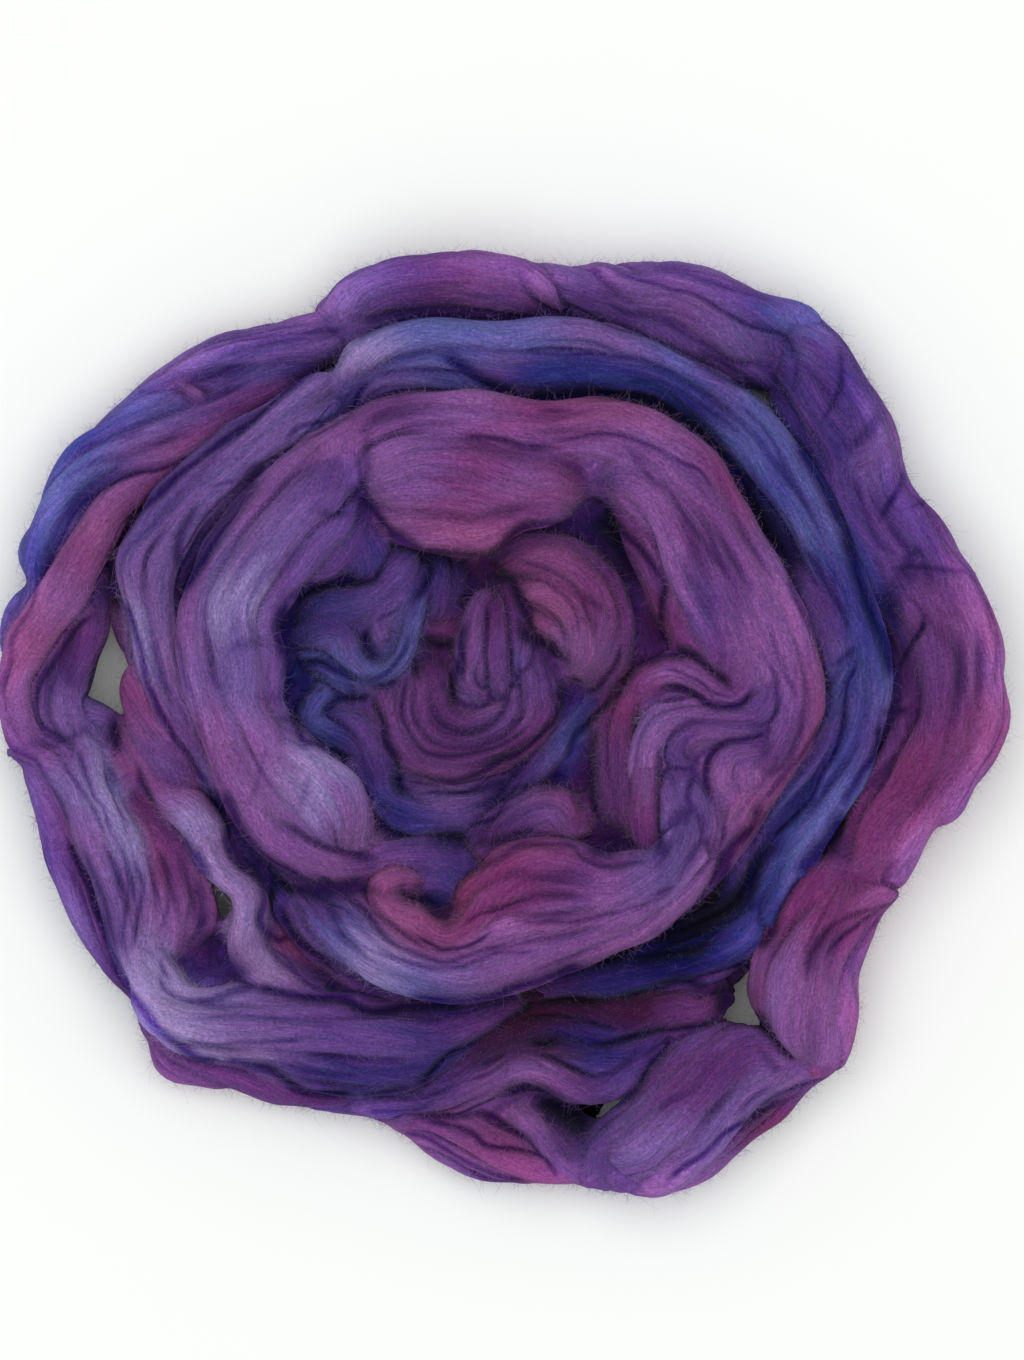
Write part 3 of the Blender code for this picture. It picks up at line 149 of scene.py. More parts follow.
LEFT_FOLDS = """
outer bed left: -50 116 8 22 p;-18 -4 9 24;-17 -8 12 25;-15.5 -14 14;-14.5 -13 14 25 v;-11 -11.5 12;
  -6.5 -14 11;0 -13.5 10;-7.5 -14 9 24;-3 -14 8;4 -12 9;9 -9.5 11;8 -12.5 14 25;7 -14 17;4 -14 17 26;
  .5 -13.5 11;8 -12 10;10.5 -11.5 10 27;18 -3 11;20 -3 12;20 -1 11;18 3 9 26;18 7 7 25
left foot: -140.5 -11 5 20 i;10 -19 7 22;4 -12.5 8 23;9 -18 8 22;11 -17 7 20;8 -18.5 8 17 p;11.5 -3 7;
  22 -7 7 18;19 -3.5 6;20 -3.5;18 7 6 20;16 5 7 21;16 0 8;14 4 7;12 11
left plum rim: -50 123 4 23 a;-13.5 -4 4 25 h;-17 -4;-10.5 -5.5 5;-12.5 -8 5 24;-11.5 -11 5 22;-11 -5 4 19
left plum pleat: -46 116 5 27 h;-16 -1 5 29 v;-16 -3 5 30;-14 -6 5 30 h;-14 -7 4 28 v;-10 -7 4 26 w
left blue pleat: -48 110 4 25 n;-14 -2 4 27 i;-14 -2 5 29 w;-12 -4 6 31 v;-14 -6 6 31 w;-14 -8 5 30 b;
  -11 -7 5 29;-6 -10 5 27 w;-4.5 -10.5 4 26;-5 -9 4 25;2 -9 3;-6.5 -9.5 3 24 b;-3 -10 3 23 w
left violet pleat: -60 103 4 28 p;-14 -4 5 31;-14 -6 5 33 v;-14 -5 5 33 h;-12 -5;-10 -6 5 33 w;-8 -8 5 32;
  -6 -9 4 31;-3 -9 4 30 b;.5 -8 3 29;-3 -11.5 3 28 w;-5.5 -9.5 2 27 i
left inner blue: -102 82 3 31 v;-12 -5 3 32 w;-10 -6;-7 -9 3 31 b;-4 -9 3 30 w;-4 -9 3 29 i;-5 -10 2 27
left rose pleat: -64 99 3 28 a;-12 -4 4 31 m;-12 -6 4 33;-12 -6 4 34 a;-12 -4 3 34 v;-8 -4 3 33 w
left magenta band: -84 85 4 27 p;-12 -6 5 32 m;-12 -6 6 34;-10 -7 6 35 k;-6 -10;-5 -9 6 35 m;-5 -8 6 35 a;
  -6 -8 6 34 k;-5 -9 5;-3 -10 4 33 a;1 -9 4 32;6 -8 3 31;7 -4 3 31 v
left magenta inner: -108 67 3 28 m;-9 -7 4 29;-4 -9 4 30 p;-2 -8 5;4 -5 4 27 i
stretch over gap: -120 38 4 26 a;-5 -6 6 28 p;-5.5 -9 7.5 29;-4 -9 7.5 30 v;.5 -9 7 31 h;5 -5 6 32;5 -3 4 33
gap lower lip: -131 7 3 27 v;6 -2 3 29 h;5 -2;2 -6 3 27 i;-2 -6 4 24 p
thin bright ridge: -127 1 3 31 h;1 -8 4 33;2 -9 4 34 l;5 -9;5 -9 4 35;3 -10 4 36 h;2 -10 4 36 a;1 -10 5 37 l
left lilac pleat: -150 4 3 29 a;4 -8 3 30;8 -5 3 31;7 -6 4 32 h;3 -9 4 33;4 -10 4 34 a;5 -12 4 35 h;
  3 -12 4 35 v;2 -10 4 35 h;5 -10 4 36 l
left fill pleat: -133 -3 3 31 h;4 -6 3 32 p;3 -8 3 32 v;4 -10 3 32 h;5 -10 3 33 v;3 -11 3 34 h;2 -12
left dark pleat: -148 -6 3 23 v;7.5 -6 3 25;5.5 -8 3 27 p;4 -12 3 28;5 -12 3 29;5 -12;4 -11 3 28;5 -10 3 27;
  7 -9 3 26
left edge strand: -150 -8 3 20 h;9.5 -3 5 25;6.5 -19.5 6 27 v;2 -8.5 6 28;5 -11.5 6 27 h;5.5 -12 5 26;
  6 -10 5 24 v;7 -9 4 22 p;5 -12 5 18 a;3.5 -6.5 6 17;9 -3 5;11 -.5 5 17 p;11 -5;13 -3.5 4 17 v;13 -2 4 16;
  9.5 -5 3 15 a
left edge inner: -111 -81.5 3 22 p;6 -7.5 4 21;7 -7 5 20;12 -5;12 -5;14 -5 4;14 -1;14 1 4 22 v
magenta pleat outer: -119 -12 4 25 a;4 -8 5 27 m;8 -8 5 29;8 -8 5 31 p;5 -10 5 32 m;2 -10 5 31 a;
  -3 -9 4 28 p;-4 -6 3 25
magenta pleat inner: -117 -22 4 28 m;6 -9 4 31;5 -10 4 33 c;3 -11 4 34 a;2 -10 4 33;0 -9 4 30
magenta pleat mid: -112 -26 3 29 m;8 -8 3 31 p;5 -10 3 33;2 -11 3 33 a;-1 -10 3 30
pit wall: -102 -72 4 24 p;5 -5 4 25 v;9 -2 4 24;10 1 4 23 p
pit floor: -92 -66 6 12 r;8 -2 6 12 n;8 2 5 14
lilac upper: -106 -62 4 35 h;2 -10 5 36 l;5 -9 5 37;9 -4;12 2 5 37 h;14 -1 5 36 v;16 -2 5 35;16 -2 6 34 p;
  18 2 5 33 i;18 5 4 31 n
lilac middle: -110 -72 4 36 l;3 -9 5 38;9 -7 6 40;14 -2 6 40 h;16 0;16 -2 6 39 v;16 -1 6 38;14 0 5 36 i;
  14 5 4 33 p;12 4 3 31
lilac lower: -106 -86 3 35 l;9 -7 4 37;13 -3;14 -1 5 37 h;14 -3 6 36 i;14 -2 5;12 0 5 35;12 4 4 33;
  10 6 3 31 p
lilac hem: -80 -100 2 34 h;12 -3 3 34 v;12 -4 3 33;14 -1 3 33 i;12 2 3 33 p;10 4 3 31 n
flap upper: -109 20 2 32 a;-2 -6 4 34 k;2 -9 5 36 m;5 -10 6 37 a;7 -8 6 37 v;7 -6 4 35 p
flap lower: -114 2 3 30 a;2 -8 4 32 m;4 -6 4 33;5 -4 4 34 v;7 -3 4 35 p
cord: -113 4 3 31 a;3 -9 4 33 m;4 -8 4 34 a;5 -6 4 35 k;6 -5 5 36 a;5 -6 5 37 l;3 -8 5 38 a;5 -6 4.5 38 l;
  5 -5 4.5 38 a;1 -8 4.5 37 l;-2 -8 5 36 a;4 -7 5 35 l;8 -4 5 34 a;10 -3 4 32 v;10 -1 3 29 p
under cord dark: -84 -26 3 26 n;3 -8 3 26 r;5 -7 4 27 n;4 -9 4 28 p;2 -10 4 29;5 -7 4 29 c;8 -6 4 28 m;
  9 -5 3 26 p
light wisp: -102 105 1 27 a;4 -2 1.5 31;5 -3 2 33 k;5 -1 1 31 a
"""

RIGHT_FOLDS = """
outer bed right: 84 112 9 26 v;10 -8.5 12 28;8.5 -14;5 -15.5;6.5 -19 13;9 -15.5 15 29;7.5 -16;
  2.5 -17.5 15 29 m;-4 -13;-10.5 -10.5;-10 -17 14;-5 -11 13;-8.5 -13 13 30;-4 -13.5;.5 -14;.5 -11 10 28
right rim: 90.5 124 4 27 w;6.5 -9.5 5 28 v;5.5 -9.5;6.5 -10 5 29;5.5 -7.5 4 29 a;1 -12 5 29 h;3.5 -6 5 30 v;
  9 -13 5 31 p;6.5 -11 6 34.5 a;3.5 -8.5;4 -11.5 6 34.5 k;1.5 -11.5 6 34.5 a;1.5 -11 6 34.5 k;-3 -9;
  -6.5 -10 6 34.5 a;-7.5 -9.5;-3 -5 4 29
right outer body: 86 121 4 31 w;7 -8 5 33 v;7 -10 6 34 i;7 -10 6 35 v;4 -11 6 35 h;3 -12 6 35 v;7 -10;7 -10;
  4 -11 5 36 p;5 -12 5 36 a;1 -13;0 -11 5 34 m;-2 -11 5 36 k;-6.5 -11 5 36 m;-6.5 -8.5 6 36 k;
  -5 -11.5 5 35 a;-1 -8 4 33 p
right inner body: 83 115 4 30 v;5 -9 5 33 i;6 -11 5 35 v;6 -11 6 35 i;4 -11 5 35 v;6 -11;7 -11 6;
  7 -11 7 36 p;6 -12 7 37;2 -13;-1 -12 6 34;-4 -11 7 37 m;-6 -11;-7 -10;-4 -10 6 36;-4 -7 6 35
right blue pleat: 83 106 3 28 i;3 -10 4 30;4 -10 4 31;4 -8 4 32;5 -10 4 33 b;6 -11;6 -11;5 -11 4 32 i;
  5 -11 4 32 p;2 -11 4 31;-1 -9 4 30;-4 -11 5 33;-6 -10 5 34;-5 -9 4 34 m;-2 -8 4 33;-6 -7 4 32 p
right inner edge: 85 90 2 24 n;4 -9 3 26;6 -11 3 27;6 -12 3 27 d;6 -13;5 -11 3 26 n;5 -12;2 -11 3 26 p;
  -4 -11 3 27 v;-5 -11 3 29;-5 -9 3 30 i;-2 -9;-5 -9 3 29;-7 -6 3 29 p
twist ridge: 115.5 90 3 31 a;-3.5 -6 4 35 h;-7 -6 3 35 v;-6 -6 3 33 w
twist ridge two: 130 56 3 31 v;-5 -4 3 35;-6 -10 3 35 i;-3 -10 3 33
hip bulge: 110 -48 7 36 m;-8 -7 8 38;-8 -10 9 39;-5 -11 10 40 a;1 -11 9 39;5 -9 6 35;3.5 -7 3 28
hip inner: 103 -40 5 34 a;-6 -4 5 35 m;-6 -6 5 36;-4 -7 5 35;-5 -8 4;-4 -8 4 35 a;0 -10 4 34 m;5 -8 4 31 p
hip outer: 119 -50 2 27 a;-9.5 -5.5 4 30 k;-4.5 -7 5 32 a;-4.5 -11.5 5 33;.5 -11 5 32 k;-.5 -9 4 29 a;
  -1 -9.5 2 25
hip ridge: 118 -50 2 32 k;-9 -3 3 36;-8 -6 3 38 m;-6 -9 3 40 a;-2 -12 3 40 k;2 -12 3 37 a
gap three cheek: 84 -60 3 28 m;-5 -8 3 29;-1 -10 3 30;2 -9 3 29 p;4 -7 3 27 n
"""

FRONT_FOLDS = """
outer bed bottom: 90 -100 8 26 v;-12 -2 10 27;-12 -6 12 28;-12 -11 13;-12.5 -8 12 27;-9.5 -5.5 8 22;
  -17.5 3.5 7 15 p;-16.5 3 8 14;-17 5 6;-14 5 5 15
bottom body: 92 -101 3 28 a;-10 2 5 32 v;-10 2 7 34 p;-9 -6 8 36;-8 -8 9 37;-8 -8 9 37 h;-8 -8 8 35;
  -8 -7 6 30 v
bottom upper: 72 -91 4 30 p;-11 -4 4 32 v;-8 -6 4 33;-7 -7 4 33 p;-6 -7 4 32 v;-7 -6 4 31;-6 -6 4 29;
  -2 -7 4 24
bottom ridge: 90 -104 2 28 a;-8 -2 4 32 h;-9 -4 4 34;-8 -8 5 35;-8 -9 5 34;-9 -8 4 29 a;-10 -4 3 22
bottom dark slip: 88 -108 2 24 p;-10 -5 3 27 r;-8 -8 3 28;-8 -7 3 27 p;-8 -7 3 24 a
bottom crimson: 98.5 -103.5 2 18 a;-11.5 -5 4 21 p;-7 -7.5 4 23 c;-9.5 -7 4 23 m;-8 -6.5 4 22 a;
  -8.5 -5.5 3 20;-11.5 -3.5 3 17
bulb: 36 -132 7 30 v;-4 -4 6 26;-2.5 -3 3 18 a
fan ridge: 22 -136 2 21 a;-6 7 3 24 v;-6 7 3 26 a;-5 5;-4 3 3 23 p
fan rose: 20 -137 2 20 k;-11 4 4 23 m;-12 6 4 24;-11 6 4 24 p;-12 3 3 22 m;-13.5 0 2 18 a
fan light: 19 -137 2 18 k;-15 3 3 20 a;-14 5 3 21;-12 5 3 20;-11.5 4 2 18
fan dark: 18 -134 2 18 n;-12 5 3;-10 5 3 19 p;-8 6 3 20 m
fan rim: 10 -136.5 2 13 a;-11.5 2.5 3 14 v;-10 2 3 15;-9 6 3 15 a;-10.5 5.5 3 14
fan indigo: 23 -131 3 22 n;-5 8 4;-5 7 4 21;-7 4 4 18
fan floor: 30 -117 5 6 n;-10 3 6;-12 1 5 7;-12 -4 5 10
maroon band: -4 -87 3 24 n;12 3 4 26 r;14 0 5;14 -3 4;10 4 4 27;9 0 5 29 p;7 -2 4 27
tuft: 42 -89 2 24 r;8 2 3 28 p;8 1 3 30 m;6 2 3.5 28 p;6 2 2.5 23
wave top: -42 -111 3 24 i;14 2 3 26 n;12 7 3 27 p;10 6 3 28 r;9 5 3 29;10 1 4;11 -3 4 28 i;10 -1 3 27;
  9 3 3 26 n
wave indigo: -30 -112 3 27 i;14 5 3 28;12 7 4 29 n;10 4 3 30;10 -1 4;10 -3 5 29 i;10 1 4;8 4 3 28 v
wave rose: -46 -114 3 25 v;16 0 3 27;14 3 3 28 a;11 5 3 30;9 4 4 31;8 -1;8 -5 4 30 p;8 -1 3 29 v;9 4 4;
  7 6 3 29 i;5 6 2 27 p
wave hem: -60 -113.5 3 20 v;15.5 -.5;14.5 -2 3 22 a;14 1 2 24;10 4 2 26;10 5 2 28
tuft bed: 40 -90 5 22 r;12 3 6 23;9 1 5 23 p
gap three left: 76 -66 3 22 i;-6 -6 4 22 p;-4 -7 3 20 n
tuft upper: 48 -79 3 22 p;8 0 4 25;7 0;6 -1 3 21
"""

MIDDLE_FOLDS = """
middle bed: 2 -84 6 24 i;18 4 7;20 4 7 25 d;18 6 8 26;14 10 9 28;8 15 10 29;8 17 11 30;10 18 11 31;6 16 10;
  -1 18 9 31 b;-6 18;-9 16;-10 16 9 32;-14 16 10 33;-16 11 10 35;-20 7 11 36;-20 1 11 37;-22 0 10 38;
  -18 -3 10 38 w;-14 -7 10 36 v;-16 -7 10 35;-16 -12 10 34;-14 -14 10 33;-10 -14 9 32;-2 -14 7;2 -16 6;
  4 -14 6 31;6 -12 5;6 -12 5 30
middle crest: -50 105 4 41 h;9 6 5 45 l;12 5 6 47 w;13 1 5;14 0 4 46;12 1;14 0 4 46 h;14 -4 4 45;
  12 -5 4 44 w;12 -6 4 43 v;10 -7 4 42 w;10 -11 4 41;9 -13 4 40;7 -14;6 -14 4 39 b;5 -14;3 -16 4 39 w;
  -2 -13 4 39 v;-4 -12 4 39 w;-7 -11;-7 -11 4 38;-5 -10 4 37;-4 -9 4 35 b;-6 -10 3 33
middle second: -44 104 5 44 w;10 6 5 45;12 2 5 46;10 -1 4;10 -3 5 45 v;12 -1 6 44 b;14 0;14 0 5;12 -4 5 43;
  11 -8 5 42 d;10 -9 5 41 w;9 -11 4 40 b;8 -11 4 40 w;7 -13 4 39 i;6 -14;4 -13 4 39 b;1 -12 4 39 i;
  -2 -13 4 39 b;-5 -11 4 38;-6 -11 4 37;-7 -11 4 36;-5 -10 4 35;-5 -9 4 33 d
middle sub ridge: -47 97 4 41 i;9 6 4 43 h;10 3 4 44;11 -1 4 43 w;9 -3 4 42 d;10 -2 4 40;12 0 5 39;
  14 1 5 38 n;14 -2;12 -8 5 37 d;10 -9 5 36;8 -10 5 36 i;8 -11 4 36 n;7 -10 4 36 i
middle lilac fold: -44 94 3 40 i;10 5 3 41 v;10 2;10 -2 3 39;8 -1 3 37 i
left violet outer: -52 104 4 42 h;-10 -6;-12 -8 5;-12 -8;-11 -9 5 41;-9 -11 5 40;-6 -10 4 39;0 -8 4 39 a;
  3 -10 4 39 l;2 -12;3 -12 4 39 a;5 -10 4 38;6 -9 4 37 h;5 -9 3 35;5 -8 3 32 w
left violet inner: -54 97 5 41 w;-12 -7 5 41 h;-12 -9;-11 -10 5 40;-8 -11 5 39;-6 -11 4;-1 -11;2 -12 4 39 a;
  3 -12;4 -11 4 38 h;5 -11 3 37 v
left dark inner: -52 91 4 39 w;-10 -4 4 38;-11 -8 4 37 v;-10 -10 4 36;-7 -10 4 35;-5 -10 3 34 i;
  -4 -8 3 34 p;-1 -9 3 35 v;3 -10;3 -12 3 35 p
left shadow: -70 74 3 36 i;-8 -8 3 34;-7 -9 3 32 n;-6 -9 3 30
gap right wall: -119 41 3 24 n;4 -7 3 27 r;2 -8 3 28 p;2 -8
right violet strand: 82 51 4 33 n;6 -8 4 37 v;5 -10 5 39;5 -11 5 41;1 -12 4 40 w;-5 -12 5 39 v;-6 -9;
  -7 -8 5 38 w;-6 -9 4 37 i;-5 -10 4 35 v;-3 -9 4 32 i;-5 -8 3 28 n
right indigo strand: 89 50 3 34 i;6 -10 4 37 p;5 -10 4 38 v;3 -10 3 38 w;-1 -12 3 36 v;-3 -12 3 36 w;
  -5 -11 4 36 b;-7 -9 4 35 i;-7 -9 4 34 d;-6 -9 4 32;-6 -9 4 30 n;-8 -8 4 28
leaf flap: 106 20 1 40 w;-4 -5 2 42;-4 -7 3;-5 -8 3 41 v
blue low right: 80 -54 5 33 b;-7 -8;-10 -5 5 32 d;-11 -4 5 31;-12 -3 4 30 i;-12 -2 4 29;-12 -2 4 27 p;
  -10 -4 3 26
blue low dark: 74 -44 5 30 d;-6 -10 5 30 n;-10 -7 5 28;-12 -5 5 27 d;-12 -5 4;-12 -4 3 26 i
plum low flap: 70 -71 3 27 p;-10 -4 3 27 v;-10 -2 3 26 p;-10 -3 3 25 r
"""

INNER_FOLDS = """
inner bed left: -48 80 9 46 v;-14 -12 12 49;-12 -14 13 50;-8 -16 13 51;-1 -16;3 -16 12;6 -16;8 -14 12 50;
  12 -10 9 47;14 -4 7 43;16 -2 8;16 -2 7 44
inner bed top: -48 82 8 47 a;14 4 9 49;18 -2 10 52;18 0 9 53;18 0;16 -2 10;14 -10 11;10 -14 12;8 -16 13;
  7 -16 13 52;5 -16 12;-2 -14 11 51;-8 -14 11 50;-8 -14 10;-10 -12 10 49;-14 -8;-16 -6 11;-18 -6 11 48;
  -18 -4;-18 2 9 47;-14 8 8 45;-10 9 6 42
crumple one: -70 -44 4 34 i;4 -7 4 35;4 -8 4 35 p;6 -8 4 34;9 -7 4 33;10 -5 4 31
crumple two: -64 -48 3 36 i;4 -6 3 38 v;4 -7 4;6 -6 4 38 a;8 -7 4 35 v;10 -5 4 33 p;12 -3 3 30 n
crown outer: -60 83 4 51 a;12 6 4 54;12 5 4 56 p;13 2 4 57 a;13 -1;13 -2 4 57 m;13 -1;12 2 4 58 k;
  12 -3 4 59;11 -6 4 59 a;9 -8 4 59 m;6 -10 4 58;6 -11 4 58 a;7 -10;6 -11;4 -12;3 -12 4 57 k;-3 -11 4 56;
  -6 -10 4 55;-7 -10 4 54;-7 -10 4 53;-6 -10 4 52 a;-7 -9 4 51
crown second: -50 84 4 53 a;12 5 4 56;12 3 4 57;14 -2 4 58;14 -1 4 58 m;13 -1 4 58 k;12 1 4 60 m;
  12 -3 4 61 a;10 -7;9 -9;6 -11 5 60;7 -11;6 -11;5 -12;3 -12 4 59;-1 -11 4 58 v;-4 -10 4 57 a;-5 -8 4 56 p
crown third: -8 86 3 58 a;12 -1;12 0 3 59;12 0 3 60;10 -4 3 61;9 -7;8 -9 4 61 p;7 -12 4 61 a;6 -11 4 61 p;
  5 -11 4 61 a;5 -11 4 60;3 -11 3 59
big lump: -46 79 5 53 a;9 0 9 58;12 -4 14 61;15 -2 15 62 m;15 1 12 62 a;11 1 11 61 m;10 1 8 58 a
lump belly: -40 66 5 54 a;10 -4 6 58;10 -2 7 60 k;12 -1;10 5 6 60 m;12 2 6 59 a;9 2 5 55
crown inner body: 26 77 5 57 v;9 -1 6 61 a;9 -7 7 62;7 -10;5 -12;6 -11 7 61 v;5 -12 7 60 p;4 -10 5 58
crown inner edge: 29 71 4 55 p;7 -6 4 57;5 -10 5 58 m;5 -9 5 57 a;3 -9 5 57 m;3 -8 4 56;7 -5 4 55 p;
  7 -5 4 53;5 -5 3 52
crown ridge: 36 80 3 61 p;10 -8 4 62 a;9 -11 4 62 p;5 -12 4 62 a;6 -11 4 62 v;5 -12 4 61 a;3 -11 4 60
left thick outer: -50 84 4 53 a;-9 -5 5 55;-10 -9 5 57;-8 -10 5 58;-8 -11 5 59 h;-6 -12 5 60 a;-1 -11 5 59;
  2 -13 5 60 h;4 -12 5 60 a;4 -12;5 -12 5 59;7 -10 5 57;10 -7 5 54;11 -3 4 50
left thick middle: -46 78 5 56 v;-9 -7 7 60;-10 -10 7 62 h;-9 -12 7 64;-7 -13 7 64 l;0 -11 7 61 h;
  2 -10 7 62;1 -7 6 60;4 -11 7 63 a;6 -12 8;8 -9 8 62;8 -7 7 58
left thick inner: -44 68 5 54 i;-8 -8 6 57 v;-8 -8 6 59;-8 -10;-5 -10 5 58;1 -8 5 56;1 -10 5 57;1 -7 4 55;
  5 -11 5 58;8 -7 6 59 h;8 -8 6 57;5 -8 5 54 a;2 -7 4 48
left thumb: -79 4 8 57 h;8 -9 10 61;10 -10 11.5 63 l;8 -8 11.5 63 h;6.5 -6 9.5 60.5 a;4 -4 6 55
left low pleat: -74 -30 3 54 a;9 -5 4 55;10 -5 4 53;11 -2 4 48;12 3 4 46 v;12 1;10 1 4 46 i
shoulder crumple: -42 66 4 52 i;-4 -8 4 52 v;-4 -8 4 53;-8 -5 4 54
violet behind hook: -42 -44 3 42 v;10 1 4 44;10 -1 5 45 i;8 -2;6 5 4 46
blue behind hook: -26 -48 4 43 i;7 -2;6 2 3 44
low band outer: -60 -47 4 44 i;5 -9 5 49 v;8 -8 5 52 w;10 -7 5 54 l;12 -4 5 55 w;13 -1 5 55 h;14 2 5 55 a;
  13 5;13 5;12 6;10 8;8 9 5 54;7 10 5 54 k
low band middle: -54 -51 4 49 v;8 -7 5 53 w;10 -7 5 56 l;11 -5 5 57 w;13 -1 5 58 h;14 3 5 58 a;13 4;13 5;
  11 6;10 8 5 57 h;7 9 5 57 a;6 9 4 56
low band inner: -44 -51 3 52 a;8 -7 4 55 k;9 -6 4 57 c;11 -3 4 58 a;11 4 4 59;11 4 4 60;13 2;12 4 5;
  11 6 5 60 h;8 9 5 59;4 10 5 58;-1 10 5 56 v
hook: -26 -47 2 50 p;-6 1 3 54 k;-5 -3 3 56;3 -5 3 58;6 -4 4;7 -4 3 58 c;7 0 3 59;6 6 3 60 m;6 6 4 61;
  9 4 5 62;11 0 5 62 p;12 -1 5 61 a;10 4 4 60 p
hook lump: -13 -51 3 56 c;7 4 4 59;7 5 5 61 m;9 2 6 63;10 -1 6 62 p;11 -2 5 61;10 4 4 59
hook under: -4 -56 4 58 m;12 4 5 61;12 1 5 61 a;12 1 5 60;11 7 5 60 h;6 10 4 58
arch: 36 6 3 55 m;5 8 4 57;8 3 4 58 a;7 -2 4 57;6 -4 4 56 p;6 -2 3;5 3 4 57;1 7 4 58 a;-3 8 4 59 p
arch inner: 44 8 3 55 a;6 2 3 56 p;7 -1 3 55;7 -3 3 54
lilac bend: 45 -36 2 48 p;-1 8 3 51 a;-2 8 4 54;-1 8 4 57;1 7 4 58;4 6 4 58 h;8 3 4 58 a;9 0;10 0 4 58 v;
  5 5 4 59;-1 9 4 59 h
second bend: 50 -12 4 54 v;2 7 4 57;6 4 4 58 a;8 0 4 58 h;8 0 4 58 a;6 4 4 58 v
curl lobe: 65 -22 4 54 a;-1 8 4 57;3 6;7 2 4 56 v;6 1;4 7 3 56 a
curl fill: 72 -20 5 55 a;2 8;5 3 4
violet mass: 50 -10 4 52 v;0 -8 5 55;1 -9 5 57 h;-1 -9 5 56
violet mass two: 58 -14 4 54 h;0 -8 5 56 v;1 -9 5 56 a;-3 -9 5 56 h
shoulder fill: -52 64 6 50 p;7 -7 7 51 i;5 -8 7 49;2 -7 5 46
"""

